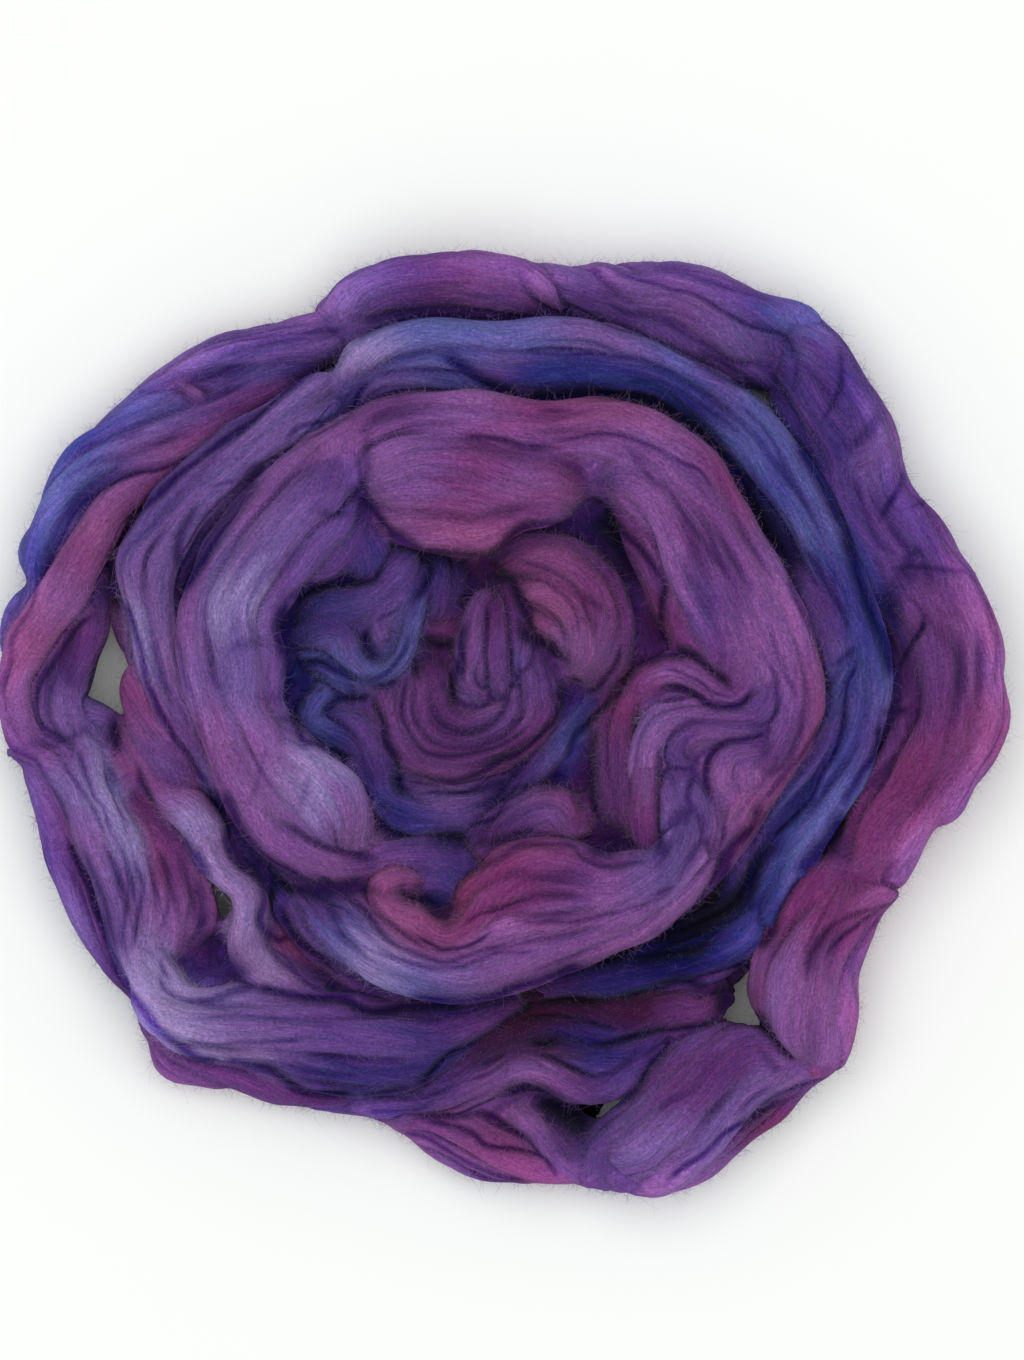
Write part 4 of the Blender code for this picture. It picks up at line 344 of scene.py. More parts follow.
HEART_FOLDS = """
heart bed: -50 32 12 38 i;14 12 10 40;16 2 9 38;16 4 8;16 0 9 42;14 -6;4 -16 9 40;4 -16 8 38;6 -16 8 44;
  0 -16 9;-20 -12 8;-16 -2 8 42;-16 8 8 36;-16 4;-16 12 9;-10 16;0 16 10 37
heart floor: -30 20 9 30 i;8 -16 11 36;14 -8 11 40;12 12 9;-6 16;10 6 8 34;8 -28 8 30
small lump: -12 -37 3 46 i;8 6 5 50 p;9 5 6 53 v;9 1 7 55 a;7 -3 5 54 m;3 6 3 50 p
small lump foot: -8 -38 3 48 p;10 4 4 51;10 2 4 53;10 -1 4 50 m
column: 44 17 4 51 a;-6 -6 4 54 m;-4 -9 4 55;-1 -10 4 56 p;0 -10;1 -8 4 54;4 -6 3 50
column edge: 36 12 3 49 m;-6 -9 3 51 p;-1 -11;0 -10;0 -9 3 48
tongue right: 38 -1 3 54 m;3 -8 4 57 a;1 -9 4 58;-1 -9 4 56 m;1 -8 4 54 p;1 -6 3
roll top: -63 33 4 45 i;7 3 5 48;8 1 5 49;9 3 5 50 v;7 7 5 51;3 8 4 50 i
roll side: -64 27 4 45 i;7 1 5 48;7 -1 5 49 v;4 -6 4 48 w;6 -4 3;6 1 3 49;4 6 3 50;2 8;2 8 3 50 i;3 8 3 49
roll core: -37 27 2 47 v;1 5 3 48;3 5 3 49;4 6
roll base: -61 20 4 45 i;8 0 4 46 w;7 -5;5 -3 4 44 v
blue curl: -50 10 3 43 w;-6 -2 4 45 b;-3 -6 4 46 w;5 -4 4 46 b;6 -3 4 46 i;5 -7 4 45 v;4 -8 4 45 b;
  6 -5 4 45 i;8 -2 4 46 b;10 0 4 46 v;10 2 4 46 i;8 5;6 7 4 46 v;7 8 4 46 w;7 8;7 8 4 45 b;6 8 4 45 v;5 9;
  2 10 3 44 i
blue curl inner: -52 4 4 45 b;7 -2 4 46 v;5 -7;3 -8;4 -7 3 44 b
low lilac line: -29 -16 2 44 v;9 -2 2 46 h;10 0;7 3 2 46 v;8 6 3 45;7 7 3 45 i
low violet line: -24 -22 3 46 v;10 0 3 47 h;9 2 3 46 v;8 5
loop outer: -36 12 3 46 p;1 -8 3 48;3 -8 3 50 v;5 -6 3 51 p;9 -3 3 52 a;10 2 3 52 p;10 4 3 52 m;7 5 3 52 p;
  4 7;0 8 3 51 v;-3 8 3 50 p
loop second: -29 16 3 48 p;-1 -9 3 50;2 -8 3 51 a;5 -6 3 52 p;9 -2 3 53;9 2;8 4;5 6;0 8 3 52 v;-2 8 3 51
loop third: -25 15 3 49 p;0 -9 3 51;4 -7 3 52;8 -3 3 53;9 2 3 53 v;6 5 3 53 a;1 7 3 53 v
loop inner: -20 13 3 49 p;1 -8 3 51;6 -4 3 53;7 2 3 53 a;6 4
tongue left: -7 8 3 53 v;-3 6 4 55 a;0 10 3 56;2 10 3 56 p;4 6 3 54
tongue middle: -1 11 3 53 v;-2 9 3 55;0 10 3 56 p;0 9 3 54
tongue side: 4 14 3 50 v;0 10 3 51;0 9 3 52 p;-3 7
shell outer: -9 51 3 47 r;10 3 4 51 p;11 1 4 54;10 -4 4 56;8 -8;3 -10 4 55;0 -10 4 53;-4 -9 4 50 r;
  -6 -3 3 47 a
shell middle: -5 47 3 48 r;10 2 4 53 m;10 0 5 57 k;9 -6 5 58 m;4 -9;1 -9 4 56 p;-2 -7 4 53 a
shell inner: 2 43 3 49 m;6 -1 4 54 k;7 -3 5 57;6 -5 5 58;3 -7 4 57 a;0 -7 4 55;-3 -5 3 51
shell rim: 7 36 3 49 c;5 -4 3 53 k;6 -4 4 55 a;2 -6 3 54
shadow strand: -4 57 3 45 p;11 1 3 47 n;12 0 4 48 i;10 -5 4 47;7 -9 4 46;3 -10 4 45 v;2 -9 4 44
blue gap strand: 26 66 4 38 d;5 -6 4 38 n;5 -8 4 38 i;5 -9 4 40;3 -9 3 42;0 -7 3 42 v
neck violet: -20 53 3 46 i;0 -8;-1 -8 3 45 v;-1 -7 3 44 p
neck indigo: -14 52 3 44 n;-1 -8 3 44 v;0 -8 3 43;1 -6 3 42 p
red fold: -26 28 2 45 p;6 0 2 47 m;6 3 2 46 p
pit fold: -26 22 2 44 r;4 -4 3 46 p;2 -6 3 47
shadow deep: 26 66 5 50 d;7 -5 6 51 n;6 -7 6 51 d;5 -8 5 50 n;2 -10 4 50 i
"""

# Each crease is a line "name: width depth dark shade: x y;...": half the width and the depth of its
# groove, how dark the shade painted at its bottom is, how far a softer painted shade reaches beside it
# (left of the way along for a positive value, right of it for a negative one; none if left out), its
# start and its steps, millimetres.
CREASES = """
brow line: .6 1.3 .75 -3: -97 103;7 2;7 3;6 1
back under ring: 1.3 4 1 -4: -46 112.5;-6 -4;-6 -4;-7 -4.5;-7 -5;-7 -5.5;-7 -5;-6 -5;-6 -5;-5 -4.5;-5 -4;
  -4 -3.5;-3.5 -5.5;-3.5 -5.5;.5 -5.5;2 -5;1 -5
blue pink line: .8 2 .85 3: -139.5 42;2 6;2 5;2.5 5;2 4;2 3;3 3.5;4.5 2.5;5.5 3;6 2.5;6 1;6 2.5;5 2.5
left soft line: 1.2 1 .35: -133 72;3.5 4;4.5 3;6 2;6 .5
navy streak: 1.6 .8 .5: -131 80;5 3.5;5 1.5;6 2;7 2
short left line: .6 .8 .5: -110 100;6 .5;5 .5;3 -1
back thin line: .7 .8 .4: -86 115.5;6 1.5;6 2
back navy patch: 1.2 .8 .5: -63 118.5;7 .5;8 0
ring left line: .5 .8 .6: -88.5 71.5;4.5 2;4 1.5
ring left band: 1.4 2 .6: -92.5 66.5;-2 -4.5;-2.5 -4.5;-1 -5.5;-.5 -5
inner edge top left: .8 1.5 .4 -2: -45 94;-7 -4;-6 -3.5;-6 -4;-6 -5
inner edge left: 1.8 4.5 1 -5: -73 74;-6 -8;-4 -5.5;-4 -6.5;-4 -6.5;-3.5 -5.5;-3 -5.5
ring blue joint: .7 1.2 .6: -66 86.5;3 3;5 1.5;4 1;4 0
ring joint up: 1.2 2 .8: -47 93;2 4;1.5 4;3.5 2.5
ring top band: 2 2 .85: -19 111.5;4 -2;5 -3;5 -3;5 -2.5;4 -2
ring deep: 2.4 5 1 5: 6 99;8 0;8 .5;8 .5;8 -1;7 -1.5;7 -4;7 -4.5;6 -5.5;4.5 -6.5;3.5 -7.5;3.5 -7.5;3.5 -6.5;
  3 -4
ring top line: .6 .8 .5: 8 112;8 -.5;8 0;8 -.5;8 -.5;6 -2;6 -3
inner short: .6 .8 .6: 10 93.5;5 0;5 0
inner plum band: 1 1.5 .65: -13 86;7 0;6 -1;6 -1.5;8 -.5
inner top line: .6 1.2 .65 -2: 14 84.5;6 1;6 1.5;5 0;6 -1;6 -2;5 -2.5;5.5 -3.5;4.5 -2.5;4 -5
lobe top edge: 1.5 .5 .1: -42 89;12 -1;12 -1;10 -3
arch line: .9 1.2 .45: 37 83;4 -6;3 -3.5;4 -3;3.5 -5;3.5 -5.5;4.5 -5;2 -4.5;3.5 -3.5
lobe left: 1.6 1.8 .45: -41 88;0 -6;.5 -6;-1.5 -3.5;-4 -1
lobe tuft: .8 1 .5: -45 72.5;4 -.5;2.5 -1.5
inner mouth: 1.2 3.5 .9 -4: -45 70;4 -3.5;3.5 -3.5;3.5 -4;4 -2;6 -3;6 -1;6 -.5;6 -.5;4 2.5;4 4;4 2;6 .5;6 0;
  5 1.5;3 3.5;3 1;3 -2;3 -5;5.5 -7;4.5 -6;3 -5;-1 -4;-.5 -5;.5 -5;3 -3.5
heart pocket right: 2.5 5 1: 26 63;5.5 -3;2.5 -5;3 -7;2.5 -5
heart strand line: .9 1.5 .6: 3 60;7 -1;6 -1;6 -2;5 -2;4 -4;3 -4;2 -5;.5 -5
heart slot top: 1.6 5 1: -8.5 47.5;3.5 -2;5 -.5;3 -1
heart spot: 1.5 4 1: -12.5 37;2.5 3
inner lobe left edge: 1.2 3 .8 2: -33 58;-1 -6;-2.5 -5;-2.5 -3.5;-6 -1.5;-5 0;-5 -1.5;-5 -1;-4.5 -1.5
heart navy left: 1.3 2.5 .75: -21.5 51;-1.5 -5;-2 -5;-3 -3.5
heart small: .8 2 .6: -13 50;2 -3;-1 -4
inner soft left: 1.5 1.5 .5: -47 64;-5 -.5;-5 1
top short: .6 1 .6: 12 133.5;3 -1.5;4 -1.5
top short two: .5 .8 .6: 26 137.5;3 -1.5
top navy line: .7 1.5 .7 2: 32 136.5;4 -1.5;5 -1.5;5 -.5;4 -1.5;5 -1;5 -2.5;6.5 -3.5;5 -3;4 -1.5;7.5 -1.5;
  3 -3;1 -5
top soft: 1.2 1.1 .45: 30 127.5;6 -3;6 -1;8 -3;6.5 -3.5;5.5 -2.5;3.5 -3;4 -2;5.5 0
back ring valley: 1 3 .8 4: -45 114;7 5.5;6 1.5;6 1.5;6 .5;8 -.5;8 -.5;8 0;6 1;6 0;6 .5
back ring valley right: .9 1.8 .5 3: 22 123.5;6 -2;6 -2.5;6 -1.5;6 -2;9 -4;4.5 -3.5;5 -3.5;5.5 -2.5
ring gap shade: 1.6 4 .9 3: 66 103.5;6 -1.5;7 -1;3 -2
ring right valley: 1.8 5 1 3: 86.5 86;5 -8;3 -5;3.5 -6.5;3.5 -7;2 -7.5;2 -7;2 -5.5;2 -5.5;2.5 -5.5;1.5 -5;
  1.5 -5;1 -4.5
ring line outer: .6 .9 .5: 70 97;5 -5;4.5 -6;3.5 -6.5;4 -6
ring line inner: .6 .8 .4: 61.5 98;6.5 -4;5 -6;5 -6.5;5 -6;5 -6.5;4.5 -7;3.5 -7
right vertical: 1 1 .4: 87 115;1 -7;-1 -7.5
right blue line: .9 1.3 .55: 100 114.5;.5 -6.5;0 -6;-2.5 -5.5;-3 -5
right soft patch: 2 1.5 .5: 113 94;-3 -4;-3.5 -4;-3.5 -2
right soft two: 1.2 1 .35: 125 62;2 -5.5;3 -6.5
right soft three: .9 1 .35: 105 75;1.5 -5.5;3 -9;2.5 -5.5;4.5 -3.5
blue pink low: .8 1.5 .55 -2: -138.5 43;-3 -6.5;-3 -5;-2.5 -5;-1 -5;-2 -6.5;-1 -5.5
loop inner edge: 1 2.2 .65 3: -123.5 33.5;-5 -3;-3 -4;-3 -4.5;-2.5 -4;-2.5 -4.5;-1 -4;0 -4.5;1 -3.5;3 -3;
  3.5 -2;3.5 -3
flank line: .9 2 .65 -4: -151 .5;2.5 -5.5;4 -3;4 -2;2.5 -3;3 -4;1.5 -3.5;1.5 -4.5;2 -4.5
left pleat line: .7 1.1 .45: -140 -4.5;3.5 -2.5;3.5 -3.5;3 -4.5;3 -4.5;2.5 -3.5;2.5 -4;2 -6
ridge left line: .6 1.3 .6: -128 -5.5;1.5 -6;1.5 -5;2 -5;2.5 -3;2 -5;3 -6;2.5 -6;1.5 -5.5;1 -6
left pit: 1.8 4 .9: -117.5 2;.5 -5;1 -4.5
magenta joint: 1 2 .7: -110 -11;1 -4;2 -4;3 -3.5
ring left valley: .9 2.2 .75: -114.5 38.5;2.5 -5.5;2.5 -8;1 -5.5;1 -6;2 -4;2 -4.5;3 -4.5;2.5 -5;3 -4;3 -5;
  2.5 -4.5
ring left valley low: 2 5 1: -89.5 -18;3 -5;3 -3.5;2 -3;3 -5.5;3 -5;3.5 -4.5
inner edge west: .8 1.5 .45 -2.5: -96.5 34.5;-.5 -6;1.5 -5.5;1 -6.5;2.5 -7;2 -7.5;2 -7;2.5 -6.5;2 -6.5
inner edge south: 1.6 4 .9 -2.5: -83.5 -18;3 -5.5;2.5 -6.5;3.5 -5.5;5 -4.5;6 -3;3.5 -2.5;5 -1.5;5 0;5 .5;
  4.5 0
bright strand upper: 1.2 3 .9: -90.5 -20.5;3.5 -4.5;2.5 -4.5;.5 -5;3.5 -5.5;3.5 -2;2.5 -3.5
bright strand lower: 1 3 .85 -4: -99.5 -28.5;4.5 -3.5;2 -3.5;3 -5;3 -4.5
magenta thin: .6 .8 .4: -105 -38;3 -7;1.5 -5.5
heart west edge: 1.3 3.5 .95 3: -64.5 38;-2.5 -3;-1.5 -4.5;0 -4;1.5 -5;1.5 -6;1 -5;1 -5.5;1.5 -5.5;1.5 -4.5;
  4 -.5;5 -1.5;6.5 -2
inner low crease: 1.3 2.6 .65 1.5: -67 -28.5;5 -2;5 -3;5.5 -2;6.5 -2;7 -2
inner soft west: 2 1.2 .3: -82 23;6 2;5 1
inner soft west two: 1.5 1 .3: -76 8.5;6 0;4.5 0
blue lobes line: 1 2.5 .8: -65.5 20;5.5 -.5;5 0;4.5 -2.5;4.5 -2;4 0
blue lobe west: .8 1.5 .6: -60.5 15;0 -6.5;0 -5
blue slot: 1 3.5 .95: -50.5 9;5.5 0;5 .5
curl slot: 1.6 4 1: -40.5 29.5;-1.5 -3.5;1 -3.5;2.5 -2
curl top: .6 1 .5: -38.5 31.5;3.5 2;4.5 2
curl under: .8 1.5 .6: -45 16.5;4.5 -1.5;4 .5;3.5 3;3 4.5;1.5 5
heart dark bar: 1.8 3.5 .9: -26 26;6 -.5;6 -1.5
heart dark slot: 1.3 4 1: -14.5 23;1.5 -3.5;-1.5 -5;-.5 -5;0 -3
heart left dark: 1 2 .7: -28 21.5;1.5 -5;1 -3.5
heart left dark two: 1.5 2 .7: -39.5 13;5 .5;3 1.5
u west line: .9 2.5 .85: -40 9.5;2 -4;2.5 -5;1 -5;2.5 -5;.5 -4
u pocket: 1.6 4 1: -31.5 -13;-.5 -4;2 -3
u south edge: .9 2.5 .85 -1.5: -26.5 -13.5;4.5 -1.5;7 -.5;6.5 2;6.5 3;5.5 2.5;4.5 3.5;3.5 4;3 3.5;1 4;
  -.5 2.5
u under slot: .7 2.5 .9: -25 -19.5;7 0;6 0;4 1;3 1.5
u under line: .6 1.2 .6: -30 -15.5;5.5 -1;5 -.5
heart south line: .9 2 .8: -38 -30.5;3.5 -2;4.5 -.5;5 1
heart south pocket: 2.6 4.5 1: -21 -33;4 0;3.5 .5;-.5 -3.5
heart south line two: .8 1.5 .7: -12 -30;4 1.5;5 2;3.5 4.5;5 2.5;4.5 2
blue strand pocket: 2 4.5 1: 11.5 -18.5;3 2;3 4
blue strand edge: 1.2 3.5 .95: 18.5 -8;3 6;4 3.5;4.5 4;3.5 5;3.5 4.5;3.5 3.5;4 1;4 1;6.5 0
rose wedge: 1.8 4.5 1: 4.5 31.5;2 -4.5;3.5 -.5;3.5 -1.5;3 -3;3 -1.5
rose pocket: 2 4 1: 16 12;1 -3.5;4 1
rose east line: .8 2 .7: 23.5 10;4.5 2;2.5 3;2.5 4.5;1.5 5.5
rose tip line: .5 1 .7: 20 15;3 -1
rose dark: 1.2 1 .45: 20.5 40;4 -1.5;4 -3;2 -2
rose dark two: .9 .8 .35: 20 33;7 -1.5
column east top: 1 1.5 .6: 5.5 41.5;1.5 -4.5;1.5 -2.5
plum strand line: .6 1 .5: 42.5 31.5;.5 -7
column line: .7 1.3 .55: -5.5 37;.5 -7;-.5 -7;.5 -6.5;-.5 -4.5
column line two: 1 1 .45: 1.5 25;.5 -5.5;1 -4.5
column west: .8 2.5 .85: -10.5 31.5;-1.5 -6.5;0 -5.5;-1 -6
u line outer: .7 1.4 .6: -29.5 15;-.5 -5.5;-.5 -6;2 -5.5;3.5 -4.5;5.5 -2;7.5 0;5.5 1.5;6 2;5 3;2.5 2.5
u line mid: .6 1 .4: -27 10.5;-.5 -5.5;2 -5.5
u line inner: .6 .8 .35: -23.5 5;2 -4.5;5 -2.5;6 0;5.5 1.5
u line east: .6 .8 .4: 1.5 1.5;4 2
crumple west line: 1.1 2.5 .75: 28 .5;-1 -2.5;-.5 -7.5;.5 -7;0 -7;1.5 -5
plum west: .8 2 .6: 20.5 -4.5;0 -5
narrow strand east: 1 2 .65: 45 -5.5;.5 -7.5;-.5 -6.5;0 -7.5;1.5 -7.5
crumple slot: 1.8 5 1: 28.5 -33;3.5 -.5;3.5 -2;3 -1.5
crumple slot west: 1.2 2 .6: 21 -33.5;4 .5;3.5 0
crumple slot low: 3 2 .7: 24 -37;4 -.5;5 -.5
rose swell edge: .8 2 .6 2: -15 -52;3 5;5.5 5;6.5 3.5;5.5 2.5;7.5 .5;6.5 -.5;2.5 -2.5;3.5 -2;5 -1;7.5 .5;5 1
swell thin: .5 .8 .5: -7 -54;7 2;8 1
swell thin two: .6 .8 .45: 34.5 -53.5;7 1.5;7 3.5
heart east slot: 1.3 4.5 1 -2: 50 23.5;4.5 -1.5;4 -2.5;3.5 -3;3 -2.5;2 -2.5
tongue line: .6 1.2 .55: 47 17.5;5 -1;6 -3;3 -3;3 -1.5;4 -.5
tongue under: 1.1 3 .85: 48 11.5;4 0;3.5 -1;2.5 -2;3.5 -2;5 -.5;4 .5;2.5 2.5;1 2.5
inner east line: .6 1 .45: 79 31;1 -6;2 -6;1.5 -4;1.5 -3;2 -3
inner east line two: .6 1 .4: 75 24;3 -4;2.5 -5;0 -5;0 -5;-2 -3.5;-3.5 -2.5;-5 -2
s crease: 1.2 3 .85 -2.5: 79.5 -.5;-3.5 -1.5;-5.5 -1.5;-4 -.5;-3.5 -2;-2 -3;-.5 -4;0 -5;1 -4
east dark patch: 2 2.5 .65: 46.5 -33;1 -5
swell spot: .8 1 .6: 44 -50;3 1.5;3 1.5
inner outer edge: .9 2 .6 2.5: 83.5 45.5;3.5 -8.5;4.5 -8.5;3 -8;2 -6.5;.5 -5;-1 -4.5;-2.5 -4.5;-3.5 -5;
  -4.5 -5.5;-5 -6;-4 -5.5
inner outer low: 1.6 5 1 4: 76.5 -22;-3.5 -7.5;-6 -6;-4 -6;-2.5 -5.5;-5 -6.5;-5.5 -5;-7 -4
ring split: .9 2.5 .9 -2: 105.5 20;-1.5 -3.5;-1.5 -3.5;-.5 -3.5;-.5 -4.5;-.5 -5;-1.5 -5;-1.5 -4.5;-2.5 -4;
  -2.5 -5;-2.5 -4.5;-3.5 -4;-3.5 -3.5;-3.5 -4
ring low pool: 2.6 5 1: 82 -34.5;-3 -3.5;-3 -4;-2 -5;-2 -4
ring low pool two: 2 4 1: 69 -33;-3 -5;-1.5 -5;-1.5 -6;-3 -5
ring west line: .7 1.2 .6: 79 -21;-1 -3;-2.5 -3.5;-2.5 -3.5
east plum edge: .9 2.5 .9 -3: 125 34.5;.5 -4;-2 -4.5;-2.5 -4;-1.5 -3;-1.5 -3;-1.5 -3.5
east notch: 1 3 .95: 113 4;3 0;3 .5;2 .5
east low valley: 1.2 3.5 .95 -2.5: 113 2;-1 -3.5;-1 -3.5;-1.5 -4;-2.5 -4;-2.5 -4;-2.5 -3.5;-1.5 -3.5
east low pool: 2.6 6 1: 100.5 -25;-1.5 -4.5;-2.5 -4;-3 -3.5;-3 -3.5;-2.5 -4.5
east soft: 1.2 1.2 .4: 118 -8;-3 -4;-3 -3;-3 -4
navy lobe soft: 2.5 1.5 .6: 114 42;2 -6;2 -6
ring fine: .5 .6 .35: 103 -2;-2.5 -6;-2.5 -5
ring patch: 1.2 1.5 .6: 97 17.5;3 2.5;3 2.5;3 1.5
ring plum line: .8 1.3 .6: 90 54;3 -4;3 -6;3.5 -6;2 -5;1.5 -6
ring inner line: .8 1.3 .55: 84.5 47;2.5 -5;2.5 -5.5;2 -5.5;1.5 -5
right fringe line: .7 1 .4: 136 50;4 -5.5;3 -6.5;2 -7;1.5 -6;.5 -7;0 -7
left under: 1.4 3.5 .8 -4: -131 -33;2.5 -7;3 -7;2 -6;3 -7;2 -6;2.5 -7;3 -5.5;5 -6;6 -6.5;6.5 -6;5 -2.5;5.5 0
bottom under: 2 5 1 -5: -85 -99.5;5.5 -1;4.5 -1;4.5 -1;3.5 -2.5;4 -3;4.5 -2;5.5 -.5;8 .5
left strand line: .6 1 .5: -114.5 -40;2 -6;-.5 -6;-1 -6;-.5 -6;1.5 -6
left strand line two: .7 1.2 .55: -112 -39;2 -5;1 -5;-1 -6;-1 -6;-1 -6
left strand line three: .8 1.2 .55: -121 -36;3 -5;2 -5;1.5 -5
left band line: .8 1.2 .5: -126 -36;2.5 -6;2.5 -7;2 -7;1.5 -6;1 -6
left rose line: .7 1 .45: -104 -37;2.5 -7;.5 -6;-1 -6;-2 -7
west hollow edge: 1.2 4 1: -92 -36;2 -5;1.5 -4.5
plum dark band: 2 2 .5: -92 -46;.5 -6;.5 -6;-1 -5
west hollow: 4 6 1: -90 -64;4 -4;5 -5;4 -3
west pocket line: .6 1.5 .7: -103.5 -69.5;1 -3.5;2.5 -3
west pocket floor: 1.5 2 .8: -100 -69;4 -2.5;6 -2;6 -2;6 -2;5 -1
west pocket edge: .8 1.5 .6 2: -104 -74;1 -4;4 -3;5.5 -1.5;7 .5;6.5 2;6 1
bottom ring top: 1.4 3.5 .95 1.5: -75 -78.5;5.5 -1;6 -1.5;6.5 -.5;5.5 -.5;4.5 -1;3 -1.5;4 -1;6 .5;6 1;8 0;
  8 .5
inner bottom west: .9 2.5 .6 -3: -58 -68;8 -4.5;6 -2.5;6 -2.5;8 -2
inner bottom edge: 1.6 5 1 -4: -30 -80;9.5 -.5;8.5 -.5;8.5 1.5;5 2;6.5 2;5 2;7 1.5;7 1;6 2;5.5 2.5;6 4;4 2;
  6.5 5
light strand east: 1.2 4 .95 3: -82 -36.5;2.5 -4.5;4 -3;2.5 -4;0 -5;-1 -5;1.5 -4;1 -3.5
light strand low: .7 1.5 .55 1.5: -71.5 -65.5;3 -4;4.5 -3;4.5 -4.5;5.5 -3
west inner hollow: 2.2 5 1: -72 -40;2 -4;4 -2.5;5 -2;5 -.5;5.5 1;5.5 0;5 -.5;3 -1.5
west v line: 1.4 3.5 .95: -68 -46;-1.5 -4;-.5 -5;1.5 -4
west v line two: 1.5 3.5 .95: -67 -54;1.5 -4;3 -4.5;4 -3.5;5.5 -3;5 -2
rose strand line: .6 1.2 .6: -70 -67;4 -2.5;3 -3;2.5 -2
plum tuft: 1 2 .8: -73 -60;3 -3;2 -1;3.5 1
pleat line one: .6 1.1 .5: -50.5 -55.5;3.5 -4.5;4 -4;4.5 -2.5;5 -1.5;5 -1.5;5.5 -1.5;6 -.5;5 .5;4 2;6 2;
  5.5 .5;6 0
pleat line two: .7 1.3 .55: -47 -49.5;4 -3.5;3 -4;3 -4;4 -3.5;4.5 -2;5.5 -2;6 -1;6 1.5;5 2;6 1
curl west line: .8 1.5 .6: -39.5 -48.5;1 -3.5;2.5 -3.5;4 -3.5;4.5 -3.5;5 -3
rose curl line: .6 1.8 .75: -27 -61.5;4 -2.5;3.5 -2;3 0;4.5 1;4 2;4 2.5
rose thin line: .5 1.3 .65: -13 -59.5;2.5 2;4 2.5;4.5 1.5;3.5 1.5;4.5 1.5
pleat short: .7 1.3 .6: 3 -57.5;6.5 -.5;4 .5;5.5 -.5;6 1;5 1.5;6 1.5
curl slot low: 1.4 4 .95 2: -31 -48;1.5 -3.5;4 -.5;3.5 -1;3 -2.5;2 -2;-.5 -2.5
plum under line: .8 1.5 .6: -48 -77;5 -2.5;5 -1
plum under blob: 1.5 3 .9: -53 -77;2 -2.5
bottom ring under: 1.1 3.5 .95 -2.5: -28 -107;4 2.5;4 3.5;3.5 3;4.5 2;4 2;3.5 3;4 3;5 2.5;5 2.5
maroon line: 1.4 3 .9: 9.5 -83;7 1;10.5 0;7.5 1;7 2;5.5 1.5;5 1.5;6 -1;5 -2
maroon low: 1 2 .6: 5 -88.5;5 1.5;6 0;6 -1.5;6 -1.5;6 -2
low pocket: 1.3 2.5 .85: 8 -94.5;4 -1;4 1.5
low pink under: 1.1 2.5 .85: 27 -96;4 .5;5 1.5;5 1;5 1.5;4 .5;5 .5;5 .5;6 2
navy arch: 1 1.8 .55: -8 -103.5;5 3;4 2;5 1;5 -1;5 -2;5 -2.5;5 -1
arch line low: .7 1.2 .5: -12 -106.5;7 2;5 3.5;4 1.5;5 -1;4 -2.5
low hollow edge: 1.6 6 1 -4: -1 -111.5;3 1.5;5 1.5;5 -.5;3.5 -2;4 -2.5;5.5 -.5;6.5 1.5;3.5 .5
low hollow: 4 6 1: 8 -111.5;6 -2.5;5 -3;5 -.5;6 3
fan line one: .8 2 .8: 13 -131;-4 2;-5 1;-5 1;-5 1.5;-4 3;-6.5 2.5;-7.5 1
fan line two: .7 1.5 .7: 16 -135;-3 4;-3 2.5;-2 3;-4 2.5;-5 2;-5 3;-3 2
fan line three: .8 1.8 .75: 8 -137;-7 2;-6 2;-6 2.5;-6 3;-7 3.5;-7 2.5
fan line four: .6 1.3 .6: 10 -138;-7 1.5;-7 .5;-5 1.5;-5 3.5;-6 2
fan top: 1.1 2.5 .75: -8 -115.5;4 -2;4 -2.5;5 -2.5;4 -2
fan crest under: .5 2 .7 -1.5: -40 -118.5;6 1;4 1;6 -1;6 .5;5 1;4 1.5;5 2;4 2.5
bottom ring low: .8 1.5 .6 -2: -45 -110;7 .5;6 1;4.5 1
floor soft bottom: .7 1 .45: -34 -112.5;7 1;7 2;7 3
floor soft two: .8 1 .5: -42 -115;8 -.5;7 .5;6 2.5
east lobe edge: 1.1 3 .9 -2.5: 50 -93;-1.5 -4;-3.5 -3.5;-2 -3.5;-2 -4;-3 -3;-4 -2.5;-4 -3;-4 -4;-3 -3.5
ring black band: 2.2 5 1: 43 -64;6.5 1.5;5 1.5;5.5 2.5;6 3.5;4.5 4.5;3 6;2.5 5;4 4
ring bottom dark: 1.6 3 .85: 38 -70;7 1;7 1.5;6 1;5 2.5
ring pink crease: 1.2 4 1 2: 75 -67.5;3 2.5;2.5 4;2 5;2.5 5;2.5 5;3.5 3.5
ring plum under: .8 1.5 .6: 73 -68;-5 -2.5;-6 -2.5;-6 -1.5;-7 0
gap west dark: 2.4 4 1: 63.5 -78.5;2.5 -2.5;0 -3;-1 -3
gap south dark: 1.5 4 1: 66 -88;4 1;5 0;3 -2.5;3 -4;3 -3.5;3.5 -3
lobe dark line: .7 1.6 .65: 112 -55.5;-4 -2.5;-3.5 -2.5;-4 -2.5;-3 -3;-1.5 -3
lobe soft line: .9 1 .35: 96 -60;-3 -5;-2 -5;0 -6
low lobe soft: 1.2 1.2 .4: 76 -97;4 -4;4 -3
low lobe line: .8 1.8 .75: 98 -104.5;-5 -1.5;-5 -2;-6 -2;-5 -2.5;-4 -3.5;-4 -3.5;-4 -3;-3 -3;-4 -3.5;-5 -4;
  -4 -3.5
low lobe line two: .8 1.5 .65: 88 -110.5;-5 -1.5;-5 -2.5;-4 -3.5;-4 -3;-4 -3.5
low lobe line three: .7 1 .5: 80 -108;-5 -2.5;-4 -3.5;-3 -3.5
low blue edge: .9 1.5 .5: 45 -103;3 4.5;3 3.5;4 2;5 1.5
low lobe mottle: 1 1 .35: 46 -116;4 4;5 2
